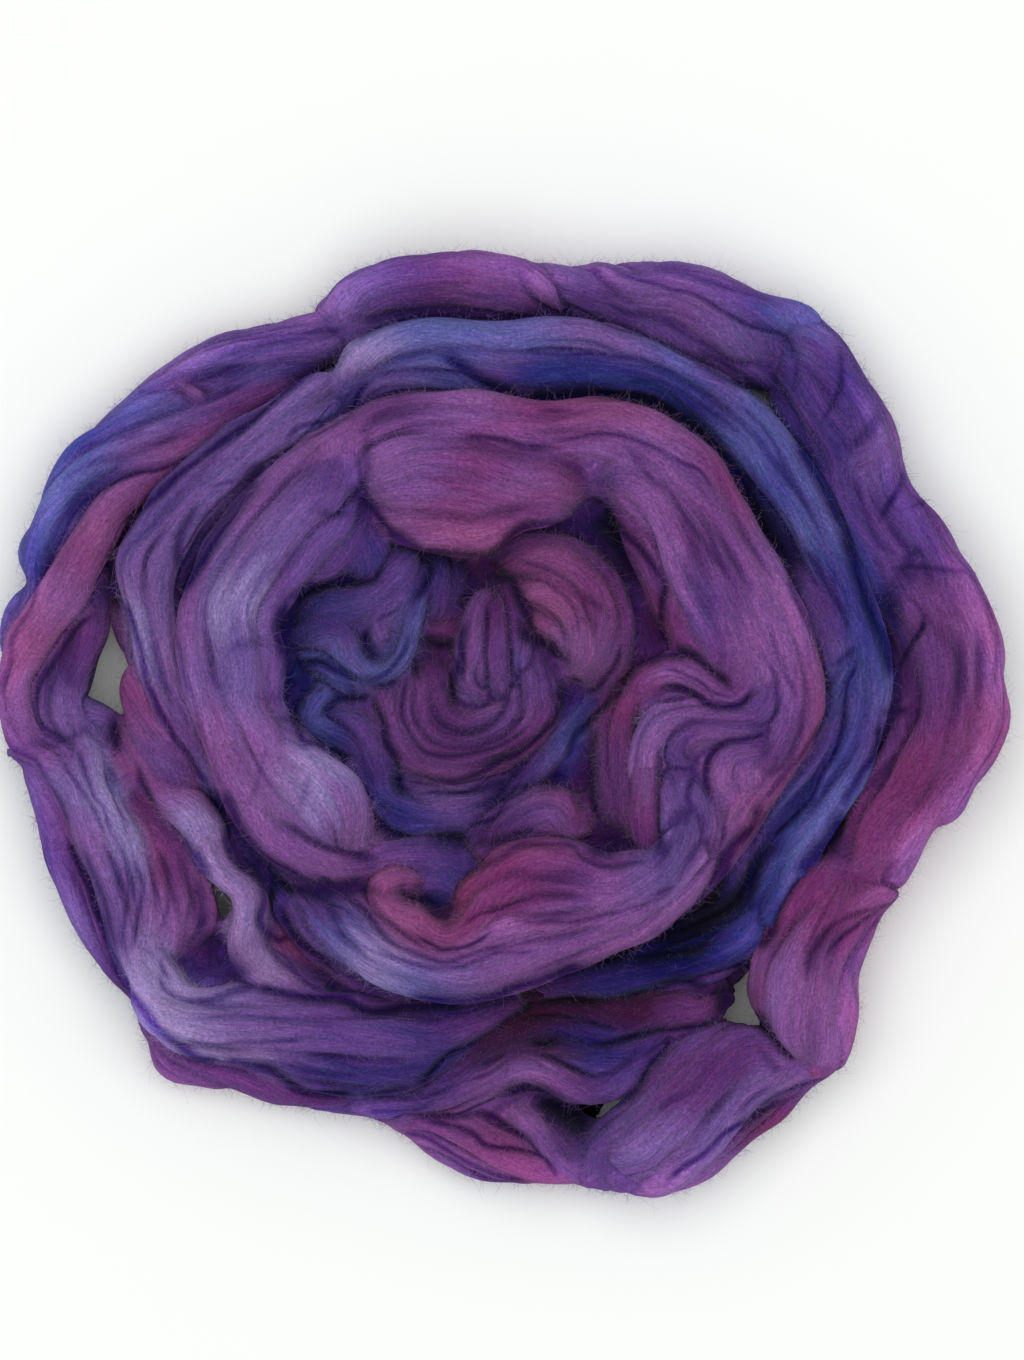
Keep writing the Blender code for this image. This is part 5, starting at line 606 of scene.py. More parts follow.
ring south line: .6 1.3 .55: -97 -93;5 -1;6 -.5;6.5 1;6.5 -.5;7 .5;6 .5
ring south line two: .5 .8 .35: -97 -86;6 -1.5;6 .5;5 .5
ring south soft: 1.2 1.2 .4: -70 -99.5;7 -1.5;7 -2;7 -1;7 0
rose stripe one: .7 1 .5: 4 50;10 -3;8 -6;3 -9
rose stripe two: .7 1 .5: 3 44;9 -1;8 -7;2 -8
rose stripe three: .6 1 .45: 5 38;7 -2;5 -6;1 -6
rose dark root: 1.3 2 .9 3: -9 50;7 -2;5 -5;3 -9;3 -7
right cross one: 1 1.2 .55 3: 121 65;7 3;8 -1;5 -2
right cross two: 1 1.2 .5 -3: 116 47;8 1;8 -1;8 -1
right cross three: 1.2 1.6 .7 4: 112 62;5 8;4 8
hip pull one: .8 1 .5: 118 -52;-10 -3;-10 -5;-6 -8
hip pull two: .7 .8 .4: 118 -53;-8 -7;-7 -10;-4 -10
thumb line two: .8 .8 .25: -71 -5;-2 -9;-3 -10
thumb line four: .8 .8 .22: -58 -13;-1 -6;-2.5 -7
"""


def entries(table: str) -> dict[str, str]:
    """Splits a table into its names and what stands after them."""
    return dict(line.split(": ", 1) for line in table.strip().replace("\n  ", " ").split("\n"))


def steady_seed(words: str) -> int:
    """A seed that is the same in every run."""
    return zlib.crc32(words.encode()) & 0xFFFF


LATTICE_SIZE = 8192
RANDOM_LATTICE = np.random.default_rng(20).uniform(-1.0, 1.0, LATTICE_SIZE)
LATTICE_STRIDES = (73856093, 19349663, 83492791)


def wander(across: Array, along: Array, seed: int) -> Array:
    """Smooth random values between -1 and 1 that change once per unit each way.

    Args:
        across: place across the strand, in units.
        along: place along the strand, in units.
        seed: which of the patterns to use.

    Returns:
        One value per place.
    """
    column = np.floor(across)
    row = np.floor(along)
    near = across - column
    on = along - row
    near = near * near * (3 - 2 * near)
    on = on * on * (3 - 2 * on)
    column = column.astype(np.int64)
    row = row.astype(np.int64)
    across_stride, along_stride, seed_stride = LATTICE_STRIDES

    def corner(step_across: int, step_along: int) -> Array:
        """Random value at one corner of the cell."""
        mixed = ((column + step_across) * across_stride ^ (row + step_along) * along_stride
                 ^ seed * seed_stride)
        return RANDOM_LATTICE[(mixed ^ (mixed >> 13)) & (LATTICE_SIZE - 1)]

    first = corner(0, 0) * (1 - near) + corner(1, 0) * near
    second = corner(0, 1) * (1 - near) + corner(1, 1) * near
    return first * (1 - on) + second * on


class Ripple(NamedTuple):
    """A steady random swing over a skin: its reach across and along, its height and its pattern."""

    across: float
    along: float
    swing: float = 1.0
    pattern: int = 0

    def at(self, across: Array, along: Array, seed: int = 0) -> Array:
        """How far each place swings."""
        return self.swing * wander(across / self.across, along / self.along, seed + self.pattern)


class Grooves(NamedTuple):
    """Lengthways grooves that come and go: their lines, where they show, breadth and depth."""

    lines: Ripple
    patches: Ripple
    patch_share: float
    breadth: float
    depth: float

    def at(self, around: Array, along: Array, seed: int) -> Array:
        """How deep each place is pressed."""
        line = self.lines.at(around, along, seed)
        patch = np.clip(self.patch_share + self.patches.at(around, along, seed), 0.0, 1.0)
        return self.depth * np.exp(-(line / self.breadth) ** 2) * patch


STEPS_PER_ROW = 8


def rounded_route(rows: Array) -> Array:
    """Passes a smooth curve through rows of values.

    Args:
        rows: the rows, at least two.

    Returns:
        The rows and seven finer ones after each but the last.
    """
    ends = np.vstack([2 * rows[0] - rows[1], rows, 2 * rows[-1] - rows[-2]])
    share = (np.arange(STEPS_PER_ROW) / STEPS_PER_ROW)[:, None]
    parts = []
    for before, start, stop, after in zip(ends, ends[1:], ends[2:], ends[3:]):
        bend = 2 * before - 5 * start + 4 * stop - after
        swing = -before + 3 * start - 3 * stop + after
        parts.append(0.5 * (2 * start + (stop - before) * share
                            + bend * share ** 2 + swing * share ** 3))
    return np.vstack(parts + [rows[-1:]])


def even_route(rows: Array, count: Callable[[float], int]) -> tuple[Array, ...]:
    """Spaces a rounded route evenly.

    Args:
        rows: the route's rows, with the place in the first two columns.
        count: how many stations a route of a given length has.

    Returns:
        How far along each station lies, the row of values and the heading there.
    """
    fine = rounded_route(rows)
    arc = np.concatenate([[0.0], np.cumsum(np.hypot(*np.diff(fine[:, :2], axis=0).T))])
    along = np.linspace(0.0, arc[-1], count(arc[-1]))
    even = np.stack([np.interp(along, arc, column) for column in fine.T], axis=1)
    heading = np.gradient(even[:, :2], axis=0)
    return along, even, heading / np.linalg.norm(heading, axis=1, keepdims=True)


class Hollow(NamedTuple):
    """An open place between the folds: its middle and half its width each way, millimetres."""

    x: float
    y: float
    half_x: float
    half_y: float


AIR_GAPS = (
    Hollow(-119.2, 15, 9, 15),
    Hollow(-85.5, -51.5, 6.5, 7.5),
    Hollow(72.5, -81.5, 7.5, 10.5),
    Hollow(30, -114.5, 7, 5),
    Hollow(78.4, 97.1, 8, 8),
)


class Lie(NamedTuple):
    """How points lie on one fold."""

    distance: Array
    along: Array
    around: Array
    heading: Array
    beyond: Array


class Fold:
    """One fold of the strand, followed station by station."""

    CAP_SHARE = 0.66  # rounding of a crest, as a share of the half width
    CAP_HEIGHT_SHARE = 0.46  # the most of the height that rounding may take
    FULLNESS = 2.3  # how full a crest is: 2 is an ellipse, more is flatter on top
    LOOSE_DEPTH = 2.5  # depth of a loose fold, in half widths
    LEAST_DEPTH = 0.2  # the lowest that a loose fold hangs, as a share of its height
    FOOT_SINK = 0.42  # share of the lower rounding pressed flat on the table
    STATION_STEP = 2.0 * MM  # spacing of the stations along a fold
    FEWEST_STATIONS = 6
    SKIN_STEPS = 20  # flats round a fold
    DYE_BLEED = 12  # how many times neighbouring stations share their dye
    END_TAPER = 14 * MM  # length over which a loose end thins
    END_SHARE = 0.3  # the most of a short fold that thins
    END_SINK = 0.9  # how far an end sinks, in half widths
    END_WIDTH = 0.55  # width of an end, as a share of the fold's own
    SEARCH_STEP = 20000  # points that are looked at in one go

    def __init__(self, name: str, rows: str) -> None:
        """Rounds the rows into even stations.

        Args:
            name: what the fold is called.
            rows: the fold's rows.
        """
        self.seed = steady_seed(name)
        self.rests = " bed" in name or "foot" in name or name.startswith("floor")
        bends = list(accumulate((row.split() for row in rows.split(";")),
                                lambda before, row: row + before[len(row):]))
        sizes = np.array([bend[:4] for bend in bends], dtype=float)
        sizes[:, :2] = sizes[:, :2].cumsum(axis=0)
        sizes *= MM
        sizes[:, :2] += np.array(NEST_SHIFT) * MM
        dyes = np.array([COLOUR_OF_LETTER[bend[4]].light for bend in bends])
        self.arc, even, self.heading = even_route(np.hstack([sizes, dyes]), self._stations)
        self.place = even[:, :2]
        self.half = even[:, 2]
        self.crest = even[:, 3]
        self.dye = self._bled(np.clip(even[:, 4:], 0.0, 1.0))
        if not self.rests:
            self._draw_in_ends()

    def _stations(self, length: float) -> int:
        """How many stations a fold of this length has."""
        return max(self.FEWEST_STATIONS, int(round(length / self.STATION_STEP)) + 1)

    def _bled(self, dye: Array) -> Array:
        """Lets neighbouring dyes run into each other along the strand.

        Args:
            dye: dye of each station.

        Returns:
            The dyes after the bleed.
        """
        for _ in range(self.DYE_BLEED):
            wide = np.vstack([dye[:1], dye, dye[-1:]])
            dye = 0.25 * wide[:-2] + 0.5 * dye + 0.25 * wide[2:]
        return dye

    def _draw_in_ends(self) -> None:
        """Thins the fold and lets it sink into its bed towards both ends."""
        length = self.arc[-1]
        taper = min(self.END_TAPER, length * self.END_SHARE)
        share = np.clip(np.minimum(self.arc, length - self.arc) / taper, 0.0, 1.0)
        share = share * (2 - share)
        self.crest = self.crest - (1 - share) * self.half * self.END_SINK
        self.half = self.half * (self.END_WIDTH + (1 - self.END_WIDTH) * share)

    def depths(self, half: Array, crest: Array) -> tuple[Array, Array]:
        """Height of the rounding and of the lowest point of a section.

        Args:
            half: half the width of the section.
            crest: height of its crest.

        Returns:
            Height of the rounding and level of the lowest point.
        """
        cap = np.minimum(half * self.CAP_SHARE, crest * self.CAP_HEIGHT_SHARE)
        if self.rests:
            return cap, -self.FOOT_SINK * cap
        return cap, np.maximum(crest - self.LOOSE_DEPTH * half, crest * self.LEAST_DEPTH)

    def rope(self) -> tuple[Array, Faces]:
        """Builds the closed skin of the fold.

        Returns:
            The points, one row each, and the numbers of each face's points.
        """
        cap, low = self.depths(self.half, self.crest)
        turn = np.linspace(0, math.pi, self.SKIN_STEPS // 2 + 1)
        full = 2 / self.FULLNESS
        wide = np.sign(np.cos(turn)) * np.abs(np.cos(turn)) ** full
        tall = np.abs(np.sin(turn)) ** full
        side = np.concatenate([wide, -wide])
        rise = np.concatenate([tall, -tall])
        crown = np.arange(len(side)) < len(turn)
        across = self.half[:, None] * side
        height = np.where(crown, (self.crest - cap)[:, None], (low + cap)[:, None])
        height = height + cap[:, None] * rise
        x = self.place[:, :1] - self.heading[:, 1:] * across
        y = self.place[:, 1:] + self.heading[:, :1] * across
        points = np.stack([x, y, height], axis=2)
        corner = np.arange(height.size).reshape(height.shape)
        other = np.roll(corner, -1, axis=1)
        quads = np.stack([corner[:-1], other[:-1], other[1:], corner[1:]], axis=2)
        faces = [tuple(quad) for quad in quads.reshape(-1, 4)]
        faces += [tuple(corner[0, ::-1]), tuple(corner[-1])]
        return points.reshape(-1, 3), faces

    def box(self, margin: float = 0.0) -> tuple[Array, Array]:
        """Lowest and highest place that the fold reaches, with a margin."""
        reach = self.half.max() + margin
        return self.place.min(axis=0) - reach, self.place.max(axis=0) + reach

    def nearest_stations(self, places: Array) -> Array:
        """Number of the station nearest to each place.

        Args:
            places: places in metres, one row each.

        Returns:
            The number of each place's station.
        """
        nearest = np.empty(len(places), dtype=np.int64)
        for start in range(0, len(places), self.SEARCH_STEP):
            batch = slice(start, start + self.SEARCH_STEP)
            off = places[batch, None, :2] - self.place[None]
            nearest[batch] = np.einsum("ijk,ijk->ij", off, off).argmin(axis=1)
        return nearest

    def lie(self, points: Array) -> Lie:
        """Finds how points lie on this fold.

        Args:
            points: places in metres, one row each.

        Returns:
            Distance outside the fold's skin, place along and around it, its heading there and how
            far past its ends the point is.
        """
        nearest = self.nearest_stations(points)
        off = points[:, :2] - self.place[nearest]
        heading = self.heading[nearest]
        ahead = (off * heading).sum(axis=1)
        side = heading[:, 0] * off[:, 1] - heading[:, 1] * off[:, 0]
        length = self.arc[-1]
        along = self.arc[nearest] + ahead
        beyond = np.maximum(along - length, 0.0) + np.maximum(-along, 0.0)
        inside = np.clip(along, 0.0, length)
        half = np.interp(inside, self.arc, self.half)
        crest = np.interp(inside, self.arc, self.crest)
        cap, low = self.depths(half, crest)
        shoulder = crest - cap
        level = np.clip(points[:, 2], np.minimum(low + cap, shoulder), shoulder)
        rise = points[:, 2] - level
        flat = np.hypot(side, beyond) / half
        full = self.FULLNESS
        spread = (flat ** full + np.abs(rise / cap) ** full) ** (1 / full)
        distance = (spread - 1) * np.minimum(half, cap)
        around = np.arctan2(np.maximum(rise, 0.0) / cap, side / half) * half
        wall = np.maximum(shoulder - points[:, 2], 0.0)
        around = np.where(side > 0, around - wall, around + wall)
        return Lie(distance, along, around, heading, beyond)

    def top_height(self, places: Array) -> Array:
        """Height of the fold over each place on the table, zero beside it.

        Args:
            places: places on the table, one row each.

        Returns:
            One height per place.
        """
        nearest = self.nearest_stations(places)
        off = places - self.place[nearest]
        crest = self.crest[nearest]
        cap, _ = self.depths(self.half[nearest], crest)
        spread = np.minimum(np.hypot(*off.T) / self.half[nearest], 1.0)
        rounding = np.maximum(1 - spread ** self.FULLNESS, 0.0) ** (1 / self.FULLNESS)
        return np.where(spread < 1.0, crest - cap + cap * rounding, 0.0)

    def dye_at(self, along: Array) -> Array:
        """Dye of the strand at each place along it."""
        return np.stack([np.interp(along, self.arc, band) for band in self.dye.T], axis=1)


class TableGrid:
    """An even square grid of places on the table."""

    REACH = 0.162  # half the side of the grid

    def __init__(self, pitch: float) -> None:
        """Sets out the places, a pitch apart."""
        self.pitch = pitch
        self.line = np.arange(-self.REACH, self.REACH + pitch / 2, pitch)
        self.places = np.stack(np.meshgrid(self.line, self.line, indexing="ij"), axis=2)

    def blank(self) -> Array:
        """One zero for every place."""
        return np.zeros(self.places.shape[:2])

    def window(self, low: Array, high: Array, extra: int = 0) -> tuple[slice, slice]:
        """The part of the grid between two corners."""
        first = np.clip(np.searchsorted(self.line, low), 0, len(self.line) - extra)
        last = np.clip(np.searchsorted(self.line, high), 0, len(self.line) - extra) + extra
        return slice(first[0], last[0]), slice(first[1], last[1])

    def at(self, values: Array, points: Array) -> Array:
        """Reads a value of the grid under each point.

        Args:
            values: one value per place of the grid.
            points: the points, one row each.

        Returns:
            One value per point, mixed from the four places round it.
        """
        steps = (points[:, :2] - self.line[0]) / self.pitch
        whole = np.clip(np.floor(steps).astype(int), 0, len(self.line) - 2)
        i, j = whole.T
        u, v = np.clip(steps - whole, 0.0, 1.0).T
        return (values[i, j] * (1 - u) * (1 - v) + values[i + 1, j] * u * (1 - v)
                + values[i, j + 1] * (1 - u) * v + values[i + 1, j + 1] * u * v)


class CreaseMap(TableGrid):
    """How deep the named creases are pressed at each place, and how much shade is painted into them."""

    STRAY = Ripple(0.009, 0.02, 0.4 * MM)  # how a crease strays sideways
    FADE = Ripple(0.006, 1.0, 0.15, 1)  # how it grows weaker and stronger along its way
    END_LENGTH = 5 * MM  # over this length an end runs out
    END_SHARE = 0.4  # the most of a short crease that runs out
    END_STRENGTH = 0.25  # what is left at the very end
    SPREAD = 2.4  # how far a crease is worked out, in its widths
    # DARK_GAIN, DARK_WIDTH and SHADE_DARK set how much shade is painted in a crease and beside it.
    DARK_GAIN = 1.25
    DARK_WIDTH = 1.3
    SHADE_FALL = 1.3
    SHADE_DEPTH = 0.45
    SHADE_DARK = 0.6

    def __init__(self, table: dict[str, str]) -> None:
        """Presses every crease into the grid.

        Args:
            table: the creases by name.
        """
        super().__init__(0.36 * MM)
        self.depth = self.blank()
        self.dark = self.blank()
        for name, text in table.items():
            sizes, route = text.split(":")
            width, depth, dark, *shades = (float(size) for size in sizes.split())
            shade = sum(shades)
            steps = np.array([step.split() for step in route.split(";")], dtype=float)
            self._press(steady_seed(name), (steps.cumsum(axis=0) + NEST_SHIFT) * MM, width * MM,
                        depth * MM, dark, shade * MM)

    def _press(self, seed: int, route: Array, width: float, depth: float, dark: float,
               shade: float) -> None:
        """Presses one crease, step by step along its route.

        Args:
            seed: the crease's own seed.
            route: places along the crease.
            width: half width of the groove.
            depth: depth of the groove.
            dark: how dark the shade painted at its bottom is, 0 to 1.
            shade: reach of a softer painted shade and a shallow dip, left of the way along when positive.
        """
        along, line, heading = even_route(route, lambda length: int(length / self.pitch) + 2)
        line += (heading[:, ::-1] * [-1, 1]) * self.STRAY.at(along, along, seed)[:, None]
        length = along[-1]
        from_end = np.minimum(along, length - along) / min(self.END_LENGTH, length * self.END_SHARE)
        strength = np.clip(self.END_STRENGTH + from_end, 0.0, 1.0)
        strength *= 1 - self.FADE.swing + self.FADE.at(along, along * 0, seed)
        reach = self.SPREAD * max(width, abs(shade))
        for place, ahead, part in zip(line, heading, strength):
            spot = self.window(place - reach, place + reach)
            off = self.places[spot] - place
            apart = np.hypot(off[..., 0], off[..., 1])
            groove = np.exp(-(apart / width) ** 2) * part
            deep = depth * groove
            # dim is the shade painted into the colour at the groove, and beside it on the shaded side.
            dim = min(self.DARK_GAIN * dark, 1.0) * np.minimum(self.DARK_WIDTH * groove, 1.0)
            if shade:
                side = (ahead[0] * off[..., 1] - ahead[1] * off[..., 0]) * math.copysign(1.0, shade)
                soft = np.where(side > 0, np.exp(-(apart / abs(shade)) ** self.SHADE_FALL), 0.0) * part
                deep = np.maximum(deep, self.SHADE_DEPTH * depth * soft)
                dim = np.maximum(dim, self.SHADE_DARK * dark * soft)
            self.depth[spot] = np.maximum(self.depth[spot], deep)
            self.dark[spot] = np.maximum(self.dark[spot], dim)


class HeightField(TableGrid):
    """Heights of the whole nest over an even grid on the table."""

    BANK_RADIUS = 9  # half the widest valley that counts as inside the nest, in steps
    SOLID_HEIGHT = 4 * MM  # lower than this is table
    RIM_RADIUS = 7  # width of the thin rim, in steps
    RIM_PASSES = 8

    def __init__(self, folds: list[Fold]) -> None:
        """Lays every fold over the grid.

        Args:
            folds: all the folds of the nest.
        """
        super().__init__(1.0 * MM)
        self.top = self.blank()
        for fold in folds:
            spot = self.window(*fold.box(), extra=1)
            shape = self.top[spot].shape
            heights = fold.top_height(self.places[spot].reshape(-1, 2)).reshape(shape)
            self.top[spot] = np.maximum(self.top[spot], heights)
        self.bank = self.close_valleys(self.top, self.BANK_RADIUS)
        self.soft_bank = self.softened(self.bank, 3)
        self.core = self.blank()
        solid = (self.bank > self.SOLID_HEIGHT).astype(float)
        self.inland = self.softened(self.drawn_in(solid, self.RIM_RADIUS), self.RIM_PASSES)

    @staticmethod
    def spread_out(heights: Array, radius: int) -> Array:
        """Highest value within a circle round each place.

        Args:
            heights: one value per place.
            radius: radius of the circle, in steps of the grid.

        Returns:
            One value per place.
        """
        steps = range(-radius, radius + 1)
        disk = [(i, j) for i in steps for j in steps if i * i + j * j <= radius * radius + 1]
        wide = np.pad(heights, radius, mode="edge")
        rows, columns = heights.shape
        most = heights.copy()
        for i, j in disk:
            most = np.maximum(most, wide[radius + i:radius + i + rows, radius + j:radius + j + columns])
        return most

    @classmethod
    def drawn_in(cls, heights: Array, radius: int) -> Array:
        """Lowest value within a circle round each place."""
        return -cls.spread_out(-heights, radius)

    @classmethod
    def close_valleys(cls, heights: Array, radius: int) -> Array:
        """Fills every valley narrower than two radii up to its lower bank."""
        return cls.drawn_in(cls.spread_out(heights, radius), radius)

    @staticmethod
    def softened(heights: Array, passes: int) -> Array:
        """Averages neighbours again and again.

        Args:
            heights: one value per place.
            passes: how many times.

        Returns:
            The softened values.
        """
        for _ in range(passes):
            wide = np.pad(heights, 1, mode="edge")
            heights = (wide[1:-1, 1:-1] * 2 + wide[:-2, 1:-1] + wide[2:, 1:-1]
                       + wide[1:-1, :-2] + wide[1:-1, 2:]) / 6
        return heights

    def clear_of(self, hollows: tuple[Hollow, ...]) -> Array:
        """Which places of the grid lie outside the given hollows.

        Args:
            hollows: the open places.

        Returns:
            True for each place outside all of them.
        """
        x, y = self.places[..., 0] / MM, self.places[..., 1] / MM
        clear = np.ones(x.shape, dtype=bool)
        for hollow in hollows:
            clear &= ((x - hollow.x) / hollow.half_x) ** 2 + ((y - hollow.y) / hollow.half_y) ** 2 > 1
        return clear


class Surface:
    """Which folds each point of a skin lies on, and what it takes from each of them."""

    REACH = 12 * MM  # how far past its side a fold is still asked about
    FAR = 1.0  # a distance beyond any fold
    BED_RECESS = 0.8 * MM  # a bed counts as this much farther off than the folds on it
    LEAST_SHARE = 0.02

    def __init__(self, folds: list[Fold], points: Array) -> None:
        """Asks every fold about the points near it.

        Args:
            folds: the folds of the skin.
            points: places on the skin.
        """
        count = len(points)
        self.fold = np.zeros(count, dtype=np.int64)
        self.along = np.zeros(count)
        self.around = np.zeros(count)
        self.heading = np.tile([1.0, 0.0], (count, 1))
        self.nearest = np.full(count, self.FAR)
        self.second = np.full(count, self.FAR)
        self.meetings: list[tuple[Fold, Array, Lie]] = []
        for number, fold in enumerate(folds):
            low, high = fold.box(self.REACH)
            which = np.flatnonzero(((points[:, :2] > low) & (points[:, :2] < high)).all(axis=1))
            if not len(which):
                continue
            lie = fold.lie(points[which])
            distance = lie.distance + (self.BED_RECESS if fold.rests else 0.0)
            self.meetings.append((fold, which, lie._replace(distance=distance)))
            closer = distance < self.nearest[which]
            self.second[which] = np.where(closer, self.nearest[which],
                                          np.minimum(self.second[which], distance))
            hit = which[closer]
            self.nearest[hit] = distance[closer]
            self.fold[hit] = number
            self.along[hit] = lie.along[closer]
            self.around[hit] = lie.around[closer]
            self.heading[hit] = lie.heading[closer]

    def blend(self, work: Callable[[Fold, Lie], Array], width: int, soft: float) -> Array:
        """Mixes what the folds give to each point, the nearest folds most.

        Args:
            work: what one fold gives to the points that meet it.
            width: how many values it gives to a point.
            soft: how far the mixing reaches past a seam, metres.

        Returns:
            The mixed values.
        """
        total = np.full(len(self.fold), 1e-9)
        values = np.zeros((len(self.fold), width))
        for fold, which, lie in self.meetings:
            share = np.exp(-(lie.distance - self.nearest[which]) / soft)
            close = share > self.LEAST_SHARE
            part = Lie(*(column[close] for column in lie))
            values[which[close]] += work(fold, part) * share[close][:, None]
            total[which[close]] += share[close]
        return values / total[:, None]


@dataclass(frozen=True)
class Combing:
    """How the skin is combed into lengthways creases, metres."""

    warp: Ripple = Ripple(0.016, 0.024, 0.0022, 5)
    creases: Grooves = Grooves(Ripple(0.0058, 0.06, 1.0, 1), Ripple(0.012, 0.026, 1.0, 2),
                               0.35, 0.13, 0.0014)
    fine_creases: Grooves = Grooves(Ripple(0.0027, 0.032, 1.0, 3), Ripple(0.014, 0.02, 1.0, 6),
                                    0.3, 0.25, 0.00042)
    swell: Ripple = Ripple(0.0105, 0.03, 0.0009, 4)
    crumple: Ripple = Ripple(0.01, 0.01, 0.0009, 7)
    crumple_lean: tuple[float, float] = (10 / 9, -10 / 13)
    past_end: float = 0.004
    mixing: float = 0.0006
    seam_depth: float = 0.0017
    seam_width: float = 0.0010
    seam_calm: float = 0.6
    seam_calm_width: float = 0.0016
    seam_crispness: Ripple = Ripple(0.017, 0.017, 0.9, 31)
    least_crispness: float = 0.25
    settled_height: float = 0.004
    upward_gain: float = 1.6

    def relief(self, fold: Fold, lie: Lie) -> Array:
        """Works out the combed relief of one fold, mostly below zero.

        Args:
            fold: the fold.
            lie: how the points lie on it.

        Returns:
            One height per point, each in its own row.
        """
        around = lie.around + self.warp.at(lie.around, lie.along, fold.seed)
        height = (self.swell.at(around, lie.along, fold.seed)
                  - self.creases.at(around, lie.along, fold.seed)
                  - self.fine_creases.at(around, lie.along, fold.seed))
        return (height * np.exp(-lie.beyond / self.past_end))[:, None]


@dataclass(frozen=True)
class DyeingAndPaintedLight:
    """How the dye runs along the strand, with painted highlight on ridges and painted shade in hollows."""

    bleed: Ripple = Ripple(0.0034, 0.05, 0.006, 11)
    strip: Ripple = Ripple(0.0036, 0.05, 0.1, 12)
    warmth: Ripple = Ripple(0.008, 0.035, 1.0, 13)
    warm_tint: tuple[float, float, float] = (0.06, 0.0, -0.05)
    mixing: float = 0.0014
    # ridge_height, ridge_gain and ridge_bloom paint a highlight on the combed ridges.
    ridge_height: float = 0.0012
    ridge_gain: float = 0.21
    ridge_bloom: float = 0.017
    # The grooves, seams and sunk places get painted shade, whose colour deep_power and deep_tint set.
    groove_depth: float = 0.0014
    groove_dark: float = 0.5
    seam_dark: float = 0.5
    sunk_dark: float = 0.85
    deep_power: float = 1.4
    deep_tint: tuple[float, float, float] = (0.34, 0.25, 0.6)

    def strand(self, fold: Fold, lie: Lie) -> Array:
        """Dye of one fold's own points.

        Args:
            fold: the fold.
            lie: how the points lie on it.

        Returns:
            One dye per point.
        """
        bleed = self.bleed.at(lie.around, lie.along, fold.seed)
        dye = fold.dye_at(np.clip(lie.along + bleed, 0.0, fold.arc[-1]))
        strip = self.strip.at(lie.around, lie.along, fold.seed)
        warmth = self.warmth.at(lie.around, lie.along, fold.seed)
        return dye * (1 + strip)[:, None] * (1 + warmth[:, None] * np.array(self.warm_tint))

    def deepened(self, dyes: Array, light: Array) -> Array:
        """Paints shade into the dyes: darker and more saturated the less light, 1 for open wool."""
        deep = dyes ** self.deep_power * np.array(self.deep_tint)
        return np.clip(dyes * light[:, None] + deep * (1 - light)[:, None], 0.0, 1.0)


class Streaks(NamedTuple):
    """A noise over the wool: its fineness along and across the strand, detail and contrast."""

    along: float
    across: float
    detail: float
    roughness: float
    contrast: float


class NodeBench:
    """The nodes of one finish, and short ways to add to them."""

    def __init__(self, name: str) -> None:
        """Starts a new finish."""
        self.finish = bpy.data.materials.new(name)
        self.finish.use_nodes = True
        self.shader = self.finish.node_tree.nodes["Principled BSDF"]

    @staticmethod
    def set(node: Node, inputs: Inputs) -> Node:
        """Sets inputs of a node, by name."""
        for socket, value in inputs.items():
            node.inputs[socket].default_value = value
        return node

    def add(self, kind: str, inputs: Inputs | None = None) -> Node:
        """Adds a node of a kind, with some of its inputs set."""
        return self.set(self.finish.node_tree.nodes.new("ShaderNode" + kind), inputs or {})

    def join(self, source: Node, target: Node, socket: str | int, output: str | int = 0) -> None:
        """Leads an output of one node to an input of another."""
        self.finish.node_tree.links.new(source.outputs[output], target.inputs[socket])

    def combine(self, operation: str, *parts: Node) -> Node:
        """Adds or multiplies two results.

        Args:
            operation: name of the sum.
            parts: the two results.

        Returns:
            The node that holds the outcome.
        """
        result = self.add("Math")
        result.operation = operation
        for number, part in enumerate(parts):
            self.join(part, result, number)
        return result

    def noise(self, place: Node, output: str, scale: float, look: Streaks, stray: float) -> Node:
        """Adds a noise over places.

        Args:
            place: node that gives the places.
            output: which of its outputs does.
            scale: how fine the noise is.
            look: its detail and roughness.
            stray: how much it wanders.

        Returns:
            The noise.
        """
        noise = self.add("TexNoise", {"Scale": scale, "Detail": look.detail,
                                      "Roughness": look.roughness, "Distortion": stray})
        self.join(place, noise, "Vector", output)
        return noise

    def spread(self, source: Node, low: float, high: float) -> Node:
        """Maps the middle of a noise onto a range."""
        ramp = self.add("MapRange", {"From Min": 0.32, "From Max": 0.68, "To Min": low, "To Max": high})
        self.join(source, ramp, "Value")
        return ramp

    def dye(self) -> Node:
        """Reads the colour called dye, painted highlight and shade included."""
        dye = self.add("Attribute")
        dye.attribute_name = "dye"
        return dye


